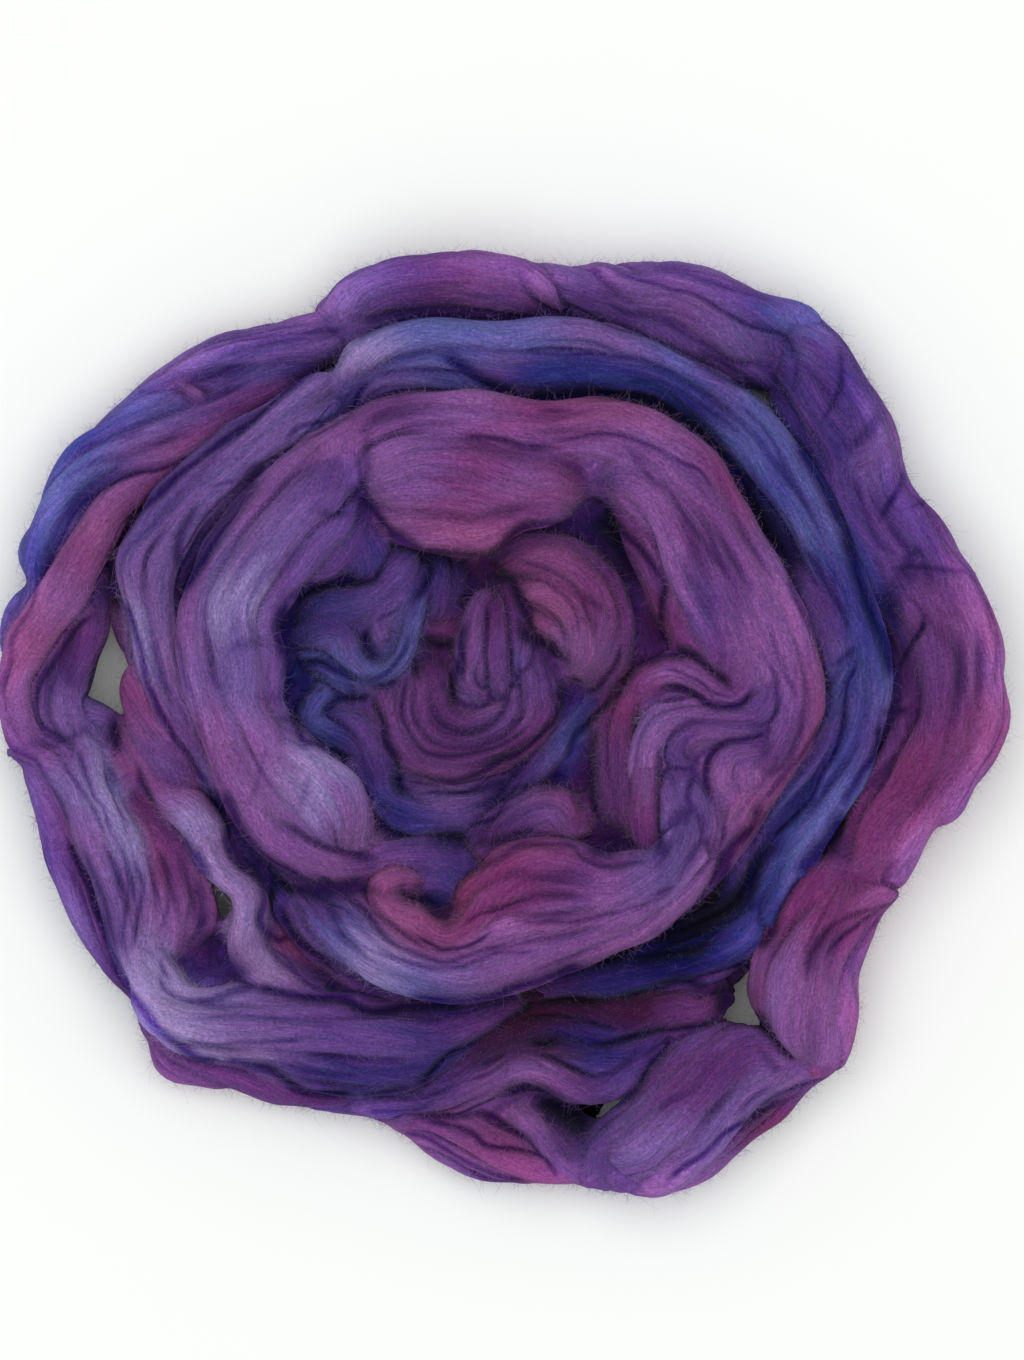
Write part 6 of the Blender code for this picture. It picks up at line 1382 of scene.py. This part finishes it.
@dataclass(frozen=True)
class WoolFinish:
    """Dry dyed wool: matte, with a soft sheen and fine lengthways fibre."""

    name: str = "wool"
    roughness: float = 0.9
    sheen: float = 0.05
    sheen_roughness: float = 0.5
    sheen_tint: Colour = (0.85, 0.78, 1.0, 1.0)
    specular: float = 0.1
    bump: float = 1.0
    bump_reach: float = 0.0005
    bands: Streaks = Streaks(28.0, 380.0, 3.0, 0.6, 0.13)
    hairs: Streaks = Streaks(150.0, 1500.0, 4.0, 0.7, 0.15)
    lint: Streaks = Streaks(800.0, 1700.0, 3.0, 0.75, 0.3)
    stray: float = 0.6
    felt: Streaks = Streaks(750.0, 750.0, 3.0, 0.7, 0.22)
    felt_stray: float = 1.5
    hue_drift: float = 0.015
    saturation: tuple[float, float] = (1.08, 0.94)

    def material(self) -> Material:
        """Builds the material that the combed skin wears.

        Returns:
            The material.
        """
        bench = NodeBench(self.name)
        strand = bench.add("UVMap")
        strand.uv_map = "strand"

        def drawn_out(streaks: Streaks) -> Node:
            """Noise drawn out along the strand."""
            stretch = bench.add("Mapping", {"Scale": (streaks.along, streaks.across, 1.0)})
            bench.join(strand, stretch, "Vector")
            return bench.noise(stretch, "Vector", 1.0, streaks, self.stray)

        bands, hairs, lint = (drawn_out(streaks) for streaks in (self.bands, self.hairs, self.lint))
        felt = bench.noise(bench.add("TexCoord"), "Object", self.felt.along, self.felt, self.felt_stray)
        noises = ((bands, self.bands), (hairs, self.hairs), (lint, self.lint), (felt, self.felt))
        band, hair, speck, matting = (bench.spread(noise, 1 - look.contrast, 1 + look.contrast)
                                      for noise, look in noises)
        value = bench.combine("MULTIPLY", bench.combine("MULTIPLY", band, hair),
                              bench.combine("MULTIPLY", speck, matting))
        shade = bench.add("HueSaturation")
        bench.join(value, shade, "Value")
        bench.join(bench.spread(bands, 0.5 - self.hue_drift, 0.5 + self.hue_drift), shade, "Hue")
        bench.join(bench.spread(hairs, *self.saturation), shade, "Saturation")
        bench.join(bench.dye(), shade, "Color", "Color")
        bench.join(shade, bench.shader, "Base Color", "Color")
        bump = bench.add("Bump", {"Strength": self.bump, "Distance": self.bump_reach})
        bench.join(bench.combine("ADD", felt, hairs), bump, "Height")
        bench.join(bump, bench.shader, "Normal", "Normal")
        bench.set(bench.shader, {
            "Roughness": self.roughness, "Sheen Weight": self.sheen,
            "Sheen Roughness": self.sheen_roughness, "Sheen Tint": self.sheen_tint,
            "Specular IOR Level": self.specular})
        return bench.finish


@dataclass(frozen=True)
class FibreFinish:
    """A single loose wool fibre, coloured as the place it comes from, painted light and shade included."""

    name: str = "loose_fibre"
    roughness: float = 0.6
    sheen: float = 0.3

    def material(self) -> Material:
        """Builds the material of the loose fibres."""
        bench = NodeBench(self.name)
        bench.join(bench.dye(), bench.shader, "Base Color", "Color")
        bench.set(bench.shader, {"Roughness": self.roughness, "Sheen Weight": self.sheen})
        return bench.finish


@dataclass(frozen=True)
class TableFinish:
    """Plain pale paint."""

    name: str = "pale_table"
    colour: Colour = (0.83, 0.85, 0.835, 1.0)
    roughness: float = 0.7

    def material(self) -> Material:
        """Builds the material of the table top."""
        bench = NodeBench(self.name)
        bench.set(bench.shader, {"Base Color": self.colour, "Roughness": self.roughness})
        return bench.finish


class TeasedSkin(NamedTuple):
    """What the loose fibres need to know of a finished skin."""

    points: Array
    normals: Array
    headings: Array
    dyes: Array
    weights: Array


def pick(piece: Object | None = None) -> None:
    """Selects one object and makes it active, or leaves nothing selected.

    Args:
        piece: the object, or none.
    """
    for thing in bpy.context.view_layer.objects:
        thing.select_set(False)
    if piece:
        piece.select_set(True)
        bpy.context.view_layer.objects.active = piece


@contextmanager
def opened(piece: Object, part: str) -> Iterator[None]:
    """Opens a mesh for work on its vertices ("VERT") or faces ("FACE") and closes it again.

    Args:
        piece: object whose mesh is opened.
        part: what is worked on.
    """
    pick(piece)
    bpy.ops.object.mode_set(mode="EDIT")
    bpy.ops.mesh.select_mode(type=part)
    yield
    bpy.ops.object.mode_set(mode="OBJECT")


def place_in_scene(name: str, data: bpy.types.ID) -> Object:
    """Makes an object from its data and places it in the scene."""
    thing = bpy.data.objects.new(name, data)
    bpy.context.scene.collection.objects.link(thing)
    return thing


def mesh_object(name: str, points: Array, faces: Faces) -> Object:
    """Makes an object from points and faces.

    Args:
        name: what the object is called.
        points: its points, one row each.
        faces: the numbers of each face's points.

    Returns:
        The object.
    """
    mesh = bpy.data.meshes.new(name)
    mesh.from_pydata(points.tolist(), [], faces)
    mesh.update()
    return place_in_scene(name, mesh)


# The four sides of a grid cell: the step to the cell beside it and the corners of the shared edge.
CELL_SIDES = (
    ((-1, 0), (0, 0), (0, 1)),
    ((1, 0), (1, 1), (1, 0)),
    ((0, -1), (1, 0), (0, 0)),
    ((0, 1), (0, 1), (1, 1)),
)
THINNED = (slice(None, None, 2), slice(None, None, 2))


def slab(places: Array, upper: Array, lower: Array,
         solid: Array) -> tuple[Array, Faces]:
    """Builds a closed block over the solid places of a grid, with every other place left out.

    Args:
        places: where the places lie on the table.
        upper: how high the block reaches at each place.
        lower: how low it reaches.
        solid: where there is any.

    Returns:
        Its points and faces, all the upper ones first and then all the lower ones.
    """
    levels = [np.dstack([places[THINNED], level[THINNED]]) for level in (upper, lower)]
    points = np.concatenate([level.reshape(-1, 3) for level in levels])
    solid = solid[THINNED]
    cell = solid[:-1, :-1] & solid[1:, :-1] & solid[:-1, 1:] & solid[1:, 1:]
    under = solid.size
    number = np.arange(under).reshape(solid.shape)
    corners = np.stack([number[:-1, :-1], number[1:, :-1], number[1:, 1:], number[:-1, 1:]], axis=2)
    faces = [tuple(row) for row in corners[cell]]
    faces += [tuple(row[::-1] + under) for row in corners[cell]]
    padded = np.pad(cell, 1)
    rows, columns = cell.shape
    for (step_i, step_j), first, second in CELL_SIDES:
        beside = padded[1 + step_i:1 + step_i + rows, 1 + step_j:1 + step_j + columns]
        for i, j in np.argwhere(cell & ~beside):
            one = int(number[i + first[0], j + first[1]])
            two = int(number[i + second[0], j + second[1]])
            faces.append((two, one, one + under, two + under))
    return points, faces


def vectors_of(items: bpy.types.bpy_prop_collection, value: str) -> Array:
    """A place or normal of every vertex or face."""
    flat = np.empty(len(items) * 3, dtype=np.float32)
    items.foreach_get(value, flat)
    return flat.reshape(-1, 3).astype(float)


def numbers_of(items: bpy.types.bpy_prop_collection, value: str) -> Array:
    """A whole number of every face or corner."""
    numbers = np.empty(len(items), dtype=np.int32)
    items.foreach_get(value, numbers)
    return numbers


def apply_modifier(piece: Object, kind: str, **settings: str | float) -> None:
    """Adds a modifier with its settings and makes it lasting.

    Args:
        piece: object that is changed.
        kind: type of the modifier.
        settings: its settings.
    """
    pick(piece)
    change = piece.modifiers.new(kind.lower(), kind)
    for setting, value in settings.items():
        setattr(change, setting, value)
    bpy.ops.object.modifier_apply(modifier=change.name)


def paint(piece: Object, dyes: Array) -> None:
    """Keeps a colour called dye for every vertex, for the finishes; painted light and shade are in it."""
    layer = piece.data.attributes.new("dye", "FLOAT_COLOR", "POINT")
    layer.data.foreach_set("color", np.insert(dyes, 3, 1.0, axis=1).astype(np.float32).ravel())


def dress(piece: Object, finish: Material) -> None:
    """Gives a piece its finish and ties it to the nest.

    Args:
        piece: the piece.
        finish: the finish that it wears.
    """
    piece.data.materials.clear()
    piece.data.materials.append(finish)
    piece.data.polygons.foreach_set("use_smooth", np.ones(len(piece.data.polygons), dtype=bool))
    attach(piece, BODY)
    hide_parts(NODE)
    REPORT.info("%s: %d faces", piece.name, len(piece.data.polygons))


class WoolSkin:
    """What every felted skin shares: combing, strand map, and a dye with painted light and shade."""

    MAP_WANDER = Ripple(0.018, 0.012, 0.0018, 3)
    MAP_STEP = (0.731, 0.217)  # how far apart the folds lie on the strand map
    CREASE_BARE = 0.8  # share of the loose fibres that a crease takes away

    def __init__(self, piece: Object, folds: list[Fold], creases: CreaseMap) -> None:
        """Takes the skin as it has been felted.

        Args:
            piece: the felted mesh.
            folds: the folds whose lie the skin follows.
            creases: the named creases of the nest.
        """
        self.piece = piece
        self.folds = folds
        self.places = vectors_of(piece.data.vertices, "co")
        self.normals = vectors_of(piece.data.vertices, "normal")
        self.surface = Surface(folds, self.places)
        self.crease_depth = creases.at(creases.depth, self.places)
        self.crease_painted_shade = creases.at(creases.dark, self.places)

    def comb(self, combing: Combing, puff: float) -> None:
        """Presses the seams and creases into the skin.

        Args:
            combing: how the skin is combed.
            puff: how far the skin is first drawn outwards, metres.
        """
        gap = self.surface.second - self.surface.nearest
        relief = self.surface.blend(combing.relief, 1, combing.mixing)[:, 0]
        relief *= 1 - combing.seam_calm * np.exp(-(gap / combing.seam_calm_width) ** 2)
        places = self.places
        x, y, z = places.T
        crispness = combing.least_crispness + combing.seam_crispness.at(x, y)
        self.seam = np.exp(-(gap / combing.seam_width) ** 2) * np.clip(crispness, 0.0, 1.0)
        relief -= combing.seam_depth * self.seam
        lean_x, lean_y = combing.crumple_lean
        crumple = combing.crumple.at(x + lean_x * z, y + lean_y * z)
        settle = np.clip(z / combing.settled_height, 0.0, 1.0)
        places += self.normals * ((relief + crumple + puff) * settle)[:, None]
        upward = np.clip(self.normals[:, 2] * combing.upward_gain, 0.0, 1.0)
        places[:, 2] = np.maximum(places[:, 2] - self.crease_depth * upward * settle, 0.0)
        self.relief = relief
        mesh = self.piece.data
        mesh.vertices.foreach_set("co", places.astype(np.float32).ravel())
        mesh.update()
        self.normals = vectors_of(mesh.vertices, "normal")

    def dye(self, dye_and_shading: DyeingAndPaintedLight, sunk: Array, light: Array | float) -> None:
        """Dyes each point, bled along the strand and streaked across it, with painted highlight and shade.

        Args:
            dye_and_shading: how the dye takes and where highlight and shade are painted.
            sunk: how far each point has sunk between the folds, 0 to 1; shade is painted by it.
            light: a gain on the dye, 1 for no change, which can hold a highlight painted on the outer rim.
        """
        # A highlight is painted on the ridges; shade is painted in seams, grooves, sunk places and creases.
        ridge = np.clip(self.relief / dye_and_shading.ridge_height, 0.0, 1.0)
        gain = light * (1 + dye_and_shading.ridge_gain * ridge)
        dyes = self.surface.blend(dye_and_shading.strand, 3, dye_and_shading.mixing) * gain[:, None]
        dyes += dye_and_shading.ridge_bloom * ridge[:, None]
        groove = np.clip(-self.relief / dye_and_shading.groove_depth, 0.0, 1.0)
        open_light = ((1 - dye_and_shading.seam_dark * self.seam) * (1 - dye_and_shading.groove_dark * groove)
                      * (1 - dye_and_shading.sunk_dark * sunk) * (1 - self.crease_painted_shade))
        self.dyes = dye_and_shading.deepened(dyes, open_light)
        self.sunk = sunk
        paint(self.piece, self.dyes)

    def lay_map(self) -> None:
        """Lays a map along and across the strand, one fold to a face."""
        mesh = self.piece.data
        surface = self.surface
        corners = numbers_of(mesh.loops, "vertex_index")
        first = corners[numbers_of(mesh.polygons, "loop_start")]
        corner_fold = np.repeat(surface.fold[first], numbers_of(mesh.polygons, "loop_total"))
        along = surface.along[corners]
        around = surface.around[corners]
        stray = np.flatnonzero(surface.fold[corners] != corner_fold)
        for number in np.unique(corner_fold[stray]):
            which = stray[corner_fold[stray] == number]
            lie = self.folds[number].lie(self.places[corners[which]])
            along[which] = lie.along
            around[which] = lie.around
        around += self.MAP_WANDER.at(along, around)
        values = np.stack([along, around], axis=1) + corner_fold[:, None] * np.array(self.MAP_STEP)
        layer = mesh.uv_layers.new(name="strand")
        layer.data.foreach_set("uv", values.astype(np.float32).ravel())

    def teased(self) -> TeasedSkin:
        """Hands the skin on to the loose fibres.

        Returns:
            Places, directions, dyes and weights of the skin's points.
        """
        headings = np.insert(self.surface.heading, 2, 0.0, axis=1)
        creased = np.clip(self.crease_painted_shade, 0.0, 1.0)
        weights = (1.0 - self.CREASE_BARE * creased) * (1.0 - self.sunk) ** 2
        return TeasedSkin(self.places, self.normals, headings, self.dyes, weights)


@dataclass
class Turn:
    """A turn of the nest: folds that are felted into one skin."""

    name: str
    table: str
    tone: float = 1.0
    grain: float = 0.0014
    quick_grain: float = 1.5
    puff: float = 0.0009
    soften: int = 8
    web_reach: int = 5
    web_depth: float = 0.0018
    web_thickness: float = 0.007
    web_height: float = 0.006
    web_level: float = 0.004
    web_floor: float = 0.001
    # The outer rim gets a painted highlight; sunk_from and sunk_range place painted shade below the bank.
    painted_rim_light: float = 0.5
    sunk_from: float = 0.0018
    sunk_range: float = 0.007
    core_overlap: float = 0.003
    shown_depth: float = 0.0035
    shown_slope: float = 0.2
    folds: list[Fold] = field(init=False)

    def __post_init__(self) -> None:
        """Rounds the rows of every fold."""
        self.folds = [Fold(name, rows) for name, rows in entries(self.table).items()]

    def build(self, nest: HeightField, creases: CreaseMap, wool: Material) -> TeasedSkin:
        """Lays, felts, combs and dyes the turn, and paints highlight and shade into it.

        Args:
            nest: heights of the whole nest.
            creases: the named creases of the nest.
            wool: the finish that the skin wears.

        Returns:
            The finished skin, for the loose fibres.
        """
        piece = self._lay()
        grain = self.grain * 1.0
        apply_modifier(piece, "REMESH", mode="VOXEL", voxel_size=grain)
        apply_modifier(piece, "SMOOTH", factor=0.5, iterations=self.soften)
        self._drop_buried(piece, nest)
        self._refine_shown(piece, nest)
        skin = WoolSkin(piece, self.folds, creases)
        skin.comb(Combing(), self.puff)
        # Shade is painted below the nest's bank away from the rim, and the rim is painted paler.
        below = nest.at(nest.soft_bank, skin.places) - skin.places[:, 2]
        inland = nest.at(nest.inland, skin.places)
        sunk = np.clip((below - self.sunk_from) / self.sunk_range, 0.0, 1.0) * inland
        skin.dye(DyeingAndPaintedLight(), sunk, self.tone * (1 + self.painted_rim_light * (1 - inland)))
        skin.lay_map()
        dress(piece, wool)
        return skin.teased()

    def _lay(self) -> Object:
        """Lays every fold as a closed rope, and the web between them, in one mesh.

        Returns:
            The object, not felted yet.
        """
        points: list[Array] = []
        faces: Faces = []
        start = 0
        for part_points, part_faces in [fold.rope() for fold in self.folds] + [self._web()]:
            points.append(part_points)
            faces.extend(tuple(corner + start for corner in face) for face in part_faces)
            start += len(part_points)
        return mesh_object(self.name, np.vstack(points), faces)

    def _web(self) -> tuple[Array, Faces]:
        """Bridges the narrow valleys between the turn's own folds with a sheet.

        Returns:
            The points and faces of the sheet.
        """
        turn = HeightField(self.folds)
        closed = turn.close_valleys(turn.top, self.web_reach)
        solid = (closed > self.web_height) & turn.clear_of(AIR_GAPS)
        upper = np.maximum(turn.softened(closed, 2) - self.web_depth, self.web_level)
        lower = np.maximum(upper - self.web_thickness, self.web_floor)
        return slab(turn.places, upper, lower, solid)

    @staticmethod
    def _select_faces(mesh: Mesh, chosen: Array) -> None:
        """Selects only the chosen faces."""
        mesh.vertices.foreach_set("select", np.zeros(len(mesh.vertices), dtype=bool))
        mesh.edges.foreach_set("select", np.zeros(len(mesh.edges), dtype=bool))
        mesh.polygons.foreach_set("select", chosen)

    def _drop_buried(self, piece: Object, nest: HeightField) -> None:
        """Takes away the skin that lies deep inside the core.

        Args:
            piece: the felted turn.
            nest: heights of the whole nest.
        """
        centres = vectors_of(piece.data.polygons, "center")
        core = nest.at(nest.drawn_in(nest.core, 3), centres)
        self._select_faces(piece.data, centres[:, 2] < core - self.core_overlap)
        with opened(piece, "FACE"):
            bpy.ops.mesh.delete(type="FACE")

    def _refine_shown(self, piece: Object, nest: HeightField) -> None:
        """Cuts the faces that can be seen twice as fine.

        Args:
            piece: the felted turn.
            nest: heights of the whole nest.
        """
        centres = vectors_of(piece.data.polygons, "center")
        upward = vectors_of(piece.data.polygons, "normal")[:, 2]
        shown = centres[:, 2] > nest.at(nest.top, centres) - self.shown_depth
        self._select_faces(piece.data, (upward > self.shown_slope) & shown)
        with opened(piece, "FACE"):
            bpy.ops.mesh.subdivide(number_cuts=1, smoothness=0.0)
        apply_modifier(piece, "SMOOTH", factor=0.5, iterations=2)


@dataclass
class Core:
    """The wool under the shown folds, which closes the valleys between them."""

    name: str = "under_turns"
    valley_depth: float = 0.0065
    rim: int = 6
    height: float = 0.002
    underside: float = 0.0006

    def build(self, nest: HeightField, creases: CreaseMap, folds: list[Fold],
              wool: Material) -> None:
        """Fills the valleys from the table up.

        Args:
            nest: heights of the whole nest.
            creases: the named creases of the nest.
            folds: all the folds of the nest.
            wool: the finish that the skin wears.
        """
        solid = self._set_core(nest)
        lower = nest.blank() + self.underside
        piece = mesh_object(self.name, *slab(nest.places, nest.core, lower, solid))
        with opened(piece, "VERT"):
            bpy.ops.mesh.select_all(action="SELECT")
            bpy.ops.mesh.delete_loose()
            bpy.ops.mesh.select_all(action="SELECT")
            bpy.ops.mesh.normals_make_consistent(inside=False)
        skin = WoolSkin(piece, folds, creases)
        skin.comb(Combing(), 0.0)
        # Shade is painted over the core, darkest far inland.
        skin.dye(DyeingAndPaintedLight(), nest.at(nest.inland, skin.places), 1.0)
        skin.lay_map()
        dress(piece, wool)

    def _set_core(self, nest: HeightField) -> Array:
        """Works out how high the core stands and where there is any.

        Args:
            nest: heights of the whole nest, which keeps the core's.

        Returns:
            True for each place of the grid where the core stands.
        """
        floor = nest.softened(nest.bank - self.valley_depth, 4)
        ground = nest.drawn_in(nest.bank * (nest.bank > nest.SOLID_HEIGHT), self.rim)
        solid = (ground > self.height) & nest.clear_of(AIR_GAPS)
        nest.core = np.where(solid, np.maximum(floor, self.height), 0.0)
        return solid


@dataclass
class LooseFibres:
    """Fibres that stand off the skin or lie loose on it."""

    name: str
    count: int
    length: tuple[float, float]
    thickness: float
    lift: float
    follow: float
    stand: float
    edge_love: float
    steps: int
    seed: int
    under_slope: float = 0.35
    shown_depth: float = 0.005
    least_height: float = 0.002
    curl: float = 0.5
    arch: float = 0.75
    lift_spread: float = 0.6
    stand_spread: tuple[float, float] = (0.4, 1.3)
    kink: float = 0.00018
    root_depth: float = 0.0002
    table_gap: float = 0.0003
    tip: float = 0.35
    pale: tuple[float, float] = (0.95, 1.5)
    greying: float = 0.05
    sides: int = 3

    def build(self, skins: list[TeasedSkin], nest: HeightField, fibre: Material) -> None:
        """Teases the fibres out of the skins.

        Args:
            skins: the finished skins.
            nest: heights of the whole nest.
            fibre: the finish of a loose fibre.
        """
        pool = TeasedSkin(*(np.concatenate(part) for part in zip(*skins)))
        chance = np.random.default_rng(self.seed)
        count = self.count
        upward = pool.normals[:, 2]
        weights = (pool.weights * np.clip(upward + self.under_slope, 0.0, 1.0)
                   * (1.0 + self.edge_love * (1.0 - np.abs(upward)) ** 2))
        least = np.maximum(nest.at(nest.top, pool.points) - self.shown_depth, self.least_height)
        weights = weights * (pool.points[:, 2] > least)
        roots = chance.choice(len(weights), size=count, p=weights / weights.sum())
        spine = self._spines(pool, roots, chance)
        # Each fibre takes its root's colour, painted light and shade included, then paler and greyer.
        dyes = pool.dyes[roots] * chance.uniform(*self.pale, (count, 1))
        dyes += self.greying * (dyes.mean(axis=1, keepdims=True) - dyes)
        piece = self._tubes(spine)
        paint(piece, np.repeat(np.clip(dyes, 0.0, 1.0), (self.steps + 1) * self.sides, axis=0))
        dress(piece, fibre)

    def _spines(self, pool: TeasedSkin, roots: Array, chance: np.random.Generator) -> Array:
        """Middle line of each fibre.

        Args:
            pool: all the skins together.
            roots: numbers of the points that the fibres stand on.
            chance: where the random draws come from.

        Returns:
            The points of each line.
        """
        count = len(roots)
        normal = pool.normals[roots]
        heading = pool.headings[roots] * np.where(chance.random(count) < 0.5, -1.0, 1.0)[:, None]
        stray = chance.normal(size=(count, 3)) * (1 - self.follow)
        forward = heading * self.follow + stray
        forward -= normal * (forward * normal).sum(axis=1, keepdims=True)
        forward /= np.linalg.norm(forward, axis=1, keepdims=True) + 1e-9
        stand = self.stand * chance.uniform(*self.stand_spread, (count, 1))
        forward = forward * (1 - stand) + normal * stand
        sideways = np.cross(normal, forward)
        length = chance.uniform(*self.length, size=count)[:, None]
        curl = chance.normal(0.0, self.curl, (count, 1))
        lift = np.abs(chance.normal(self.lift, self.lift * self.lift_spread, (count, 1)))
        spine = np.empty((count, self.steps + 1, 3))
        for step, share in enumerate(np.linspace(0.0, 1.0, self.steps + 1)):
            arch = math.sin(math.pi * self.arch * share)
            spine[:, step] = (pool.points[roots]
                              + forward * length * share
                              + sideways * length * curl * share * share
                              + normal * (lift * arch - self.root_depth))
        spine[:, 1:] += chance.normal(0.0, self.kink, (count, self.steps, 3))
        spine[:, :, 2] = np.maximum(spine[:, :, 2], self.table_gap)
        return spine

    def _tubes(self, spine: Array) -> Object:
        """Gives each fibre its thickness and joins them into one mesh.

        Args:
            spine: middle lines of the fibres.

        Returns:
            The object.
        """
        count, rings, _ = spine.shape
        along = np.gradient(spine, axis=1)
        along /= np.linalg.norm(along, axis=2, keepdims=True) + 1e-12
        helper = np.where(np.abs(along[..., 2:]) < 0.9, (0.0, 0.0, 1.0), (1.0, 0.0, 0.0))
        side = np.cross(along, helper)
        side /= np.linalg.norm(side, axis=2, keepdims=True)
        up = np.cross(side, along)
        radius = self.thickness / 2 * np.linspace(1.0, self.tip, rings)[None, :, None]
        corners = range(self.sides)
        points = np.stack([spine + (side * math.cos(angle) + up * math.sin(angle)) * radius
                           for angle in (math.tau * corner / self.sides for corner in corners)], axis=2)
        base = (np.arange(count) * rings * self.sides)[:, None]
        ring = base + np.arange(rings - 1) * self.sides
        faces: Faces = []
        for corner in corners:
            other = (corner + 1) % self.sides
            quads = np.stack([ring + corner, ring + self.sides + corner,
                              ring + self.sides + other, ring + other], axis=2)
            faces += quads.reshape(-1, 4).tolist()
        faces += (base + np.array(corners)).tolist()
        faces += (base + (rings - 1) * self.sides + np.array(corners)[::-1]).tolist()
        return mesh_object(self.name, points.reshape(-1, 3), faces)


@dataclass(frozen=True)
class Studio:
    """Plain pale table, soft light from above and a camera looking straight down."""

    view_middle: tuple[float, float] = (2.1, 14.1)
    view_height: float = 0.408
    camera_height: float = 2.5
    focus_level: float = 0.035
    sensor: float = 36.0
    clip_end: float = 20.0
    table_size: float = 6.0
    room_light: float = 0.58
    room_colour: Colour = (0.985, 0.995, 1.0, 1.0)
    window_watts: float = 19.0
    window_size: float = 1.6
    window_colour: tuple[float, float, float] = (1.0, 0.99, 0.975)
    window_place: tuple[float, float, float] = (-0.05, 0.05, 1.5)

    def build(self) -> None:
        """Sets the table, the lights and the camera."""
        self._table()
        self._lights()
        self._camera()

    def _table(self) -> None:
        """A plain pale table top."""
        pick()
        bpy.ops.mesh.primitive_plane_add(size=self.table_size)
        table = bpy.context.active_object
        table.name = "table_top"
        table.data.materials.append(TableFinish().material())

    def _lights(self) -> None:
        """Weak light from all round and a broad soft window overhead."""
        world = bpy.data.worlds.new("soft_room")
        world.use_nodes = True
        sky = world.node_tree.nodes["Background"]
        sky.inputs["Color"].default_value = self.room_colour
        sky.inputs["Strength"].default_value = self.room_light
        bpy.context.scene.world = world
        window = bpy.data.lights.new("window", "AREA")
        window.energy = self.window_watts
        window.shape = "SQUARE"
        window.size = self.window_size
        window.color = self.window_colour
        lamp = place_in_scene("window", window)
        lamp.location = self.window_place
        lamp.rotation_euler = lamp.location.to_track_quat("Z", "Y").to_euler()

    def _camera(self) -> None:
        """A long lens high above the nest."""
        lens = bpy.data.cameras.new("overhead")
        lens.sensor_fit = "VERTICAL"
        lens.sensor_height = self.sensor
        lens.lens = self.sensor * (self.camera_height - self.focus_level) / self.view_height
        lens.clip_end = self.clip_end
        camera = place_in_scene("overhead", lens)
        x, y = ((middle + shift) * MM for middle, shift in zip(self.view_middle, NEST_SHIFT))
        camera.location = (x, y, self.camera_height)
        bpy.context.scene.camera = camera
        bpy.context.scene.view_settings.view_transform = "Standard"
        bpy.context.scene.view_settings.look = "None"


def main() -> None:
    """Builds the nest turn by turn, then its loose fibres, then the studio."""
    logging.basicConfig(level=logging.INFO, format="%(name)s: %(message)s")
    wool = WoolFinish().material()
    fibre = FibreFinish().material()
    turns = [
        Turn("back_outer_turn", BACK_FOLDS),
        Turn("left_outer_turn", LEFT_FOLDS),
        Turn("right_outer_turn", RIGHT_FOLDS),
        Turn("front_outer_turn", FRONT_FOLDS),
        Turn("middle_turn", MIDDLE_FOLDS),
        Turn("inner_turn", INNER_FOLDS),
        Turn("heart", HEART_FOLDS, tone=0.84, grain=0.0012, soften=7, web_depth=0.003),
    ]
    folds = [fold for turn in turns for fold in turn.folds]
    folds += [Fold(name, rows) for name, rows in entries(FLOOR_FOLDS).items()]
    nest = HeightField(folds)
    creases = CreaseMap(entries(CREASES))
    Core().build(nest, creases, folds, wool)
    skins = [turn.build(nest, creases, wool) for turn in turns]
    rim = LooseFibres("rim_fibres", 12000, length=(0.0015, 0.0062), thickness=0.00009, lift=0.0005,
                      follow=0.4, stand=0.5, edge_love=16.0, steps=2, seed=4)
    lying = LooseFibres("lying_fibres", 7000, length=(0.003, 0.01), thickness=0.00008, lift=0.0004,
                        follow=0.7, stand=0.0, edge_love=0.3, steps=3, seed=9)
    rim.build(skins, nest, fibre)
    lying.build(skins, nest, fibre)
    Studio().build()


if __name__ == "__main__":
    main()
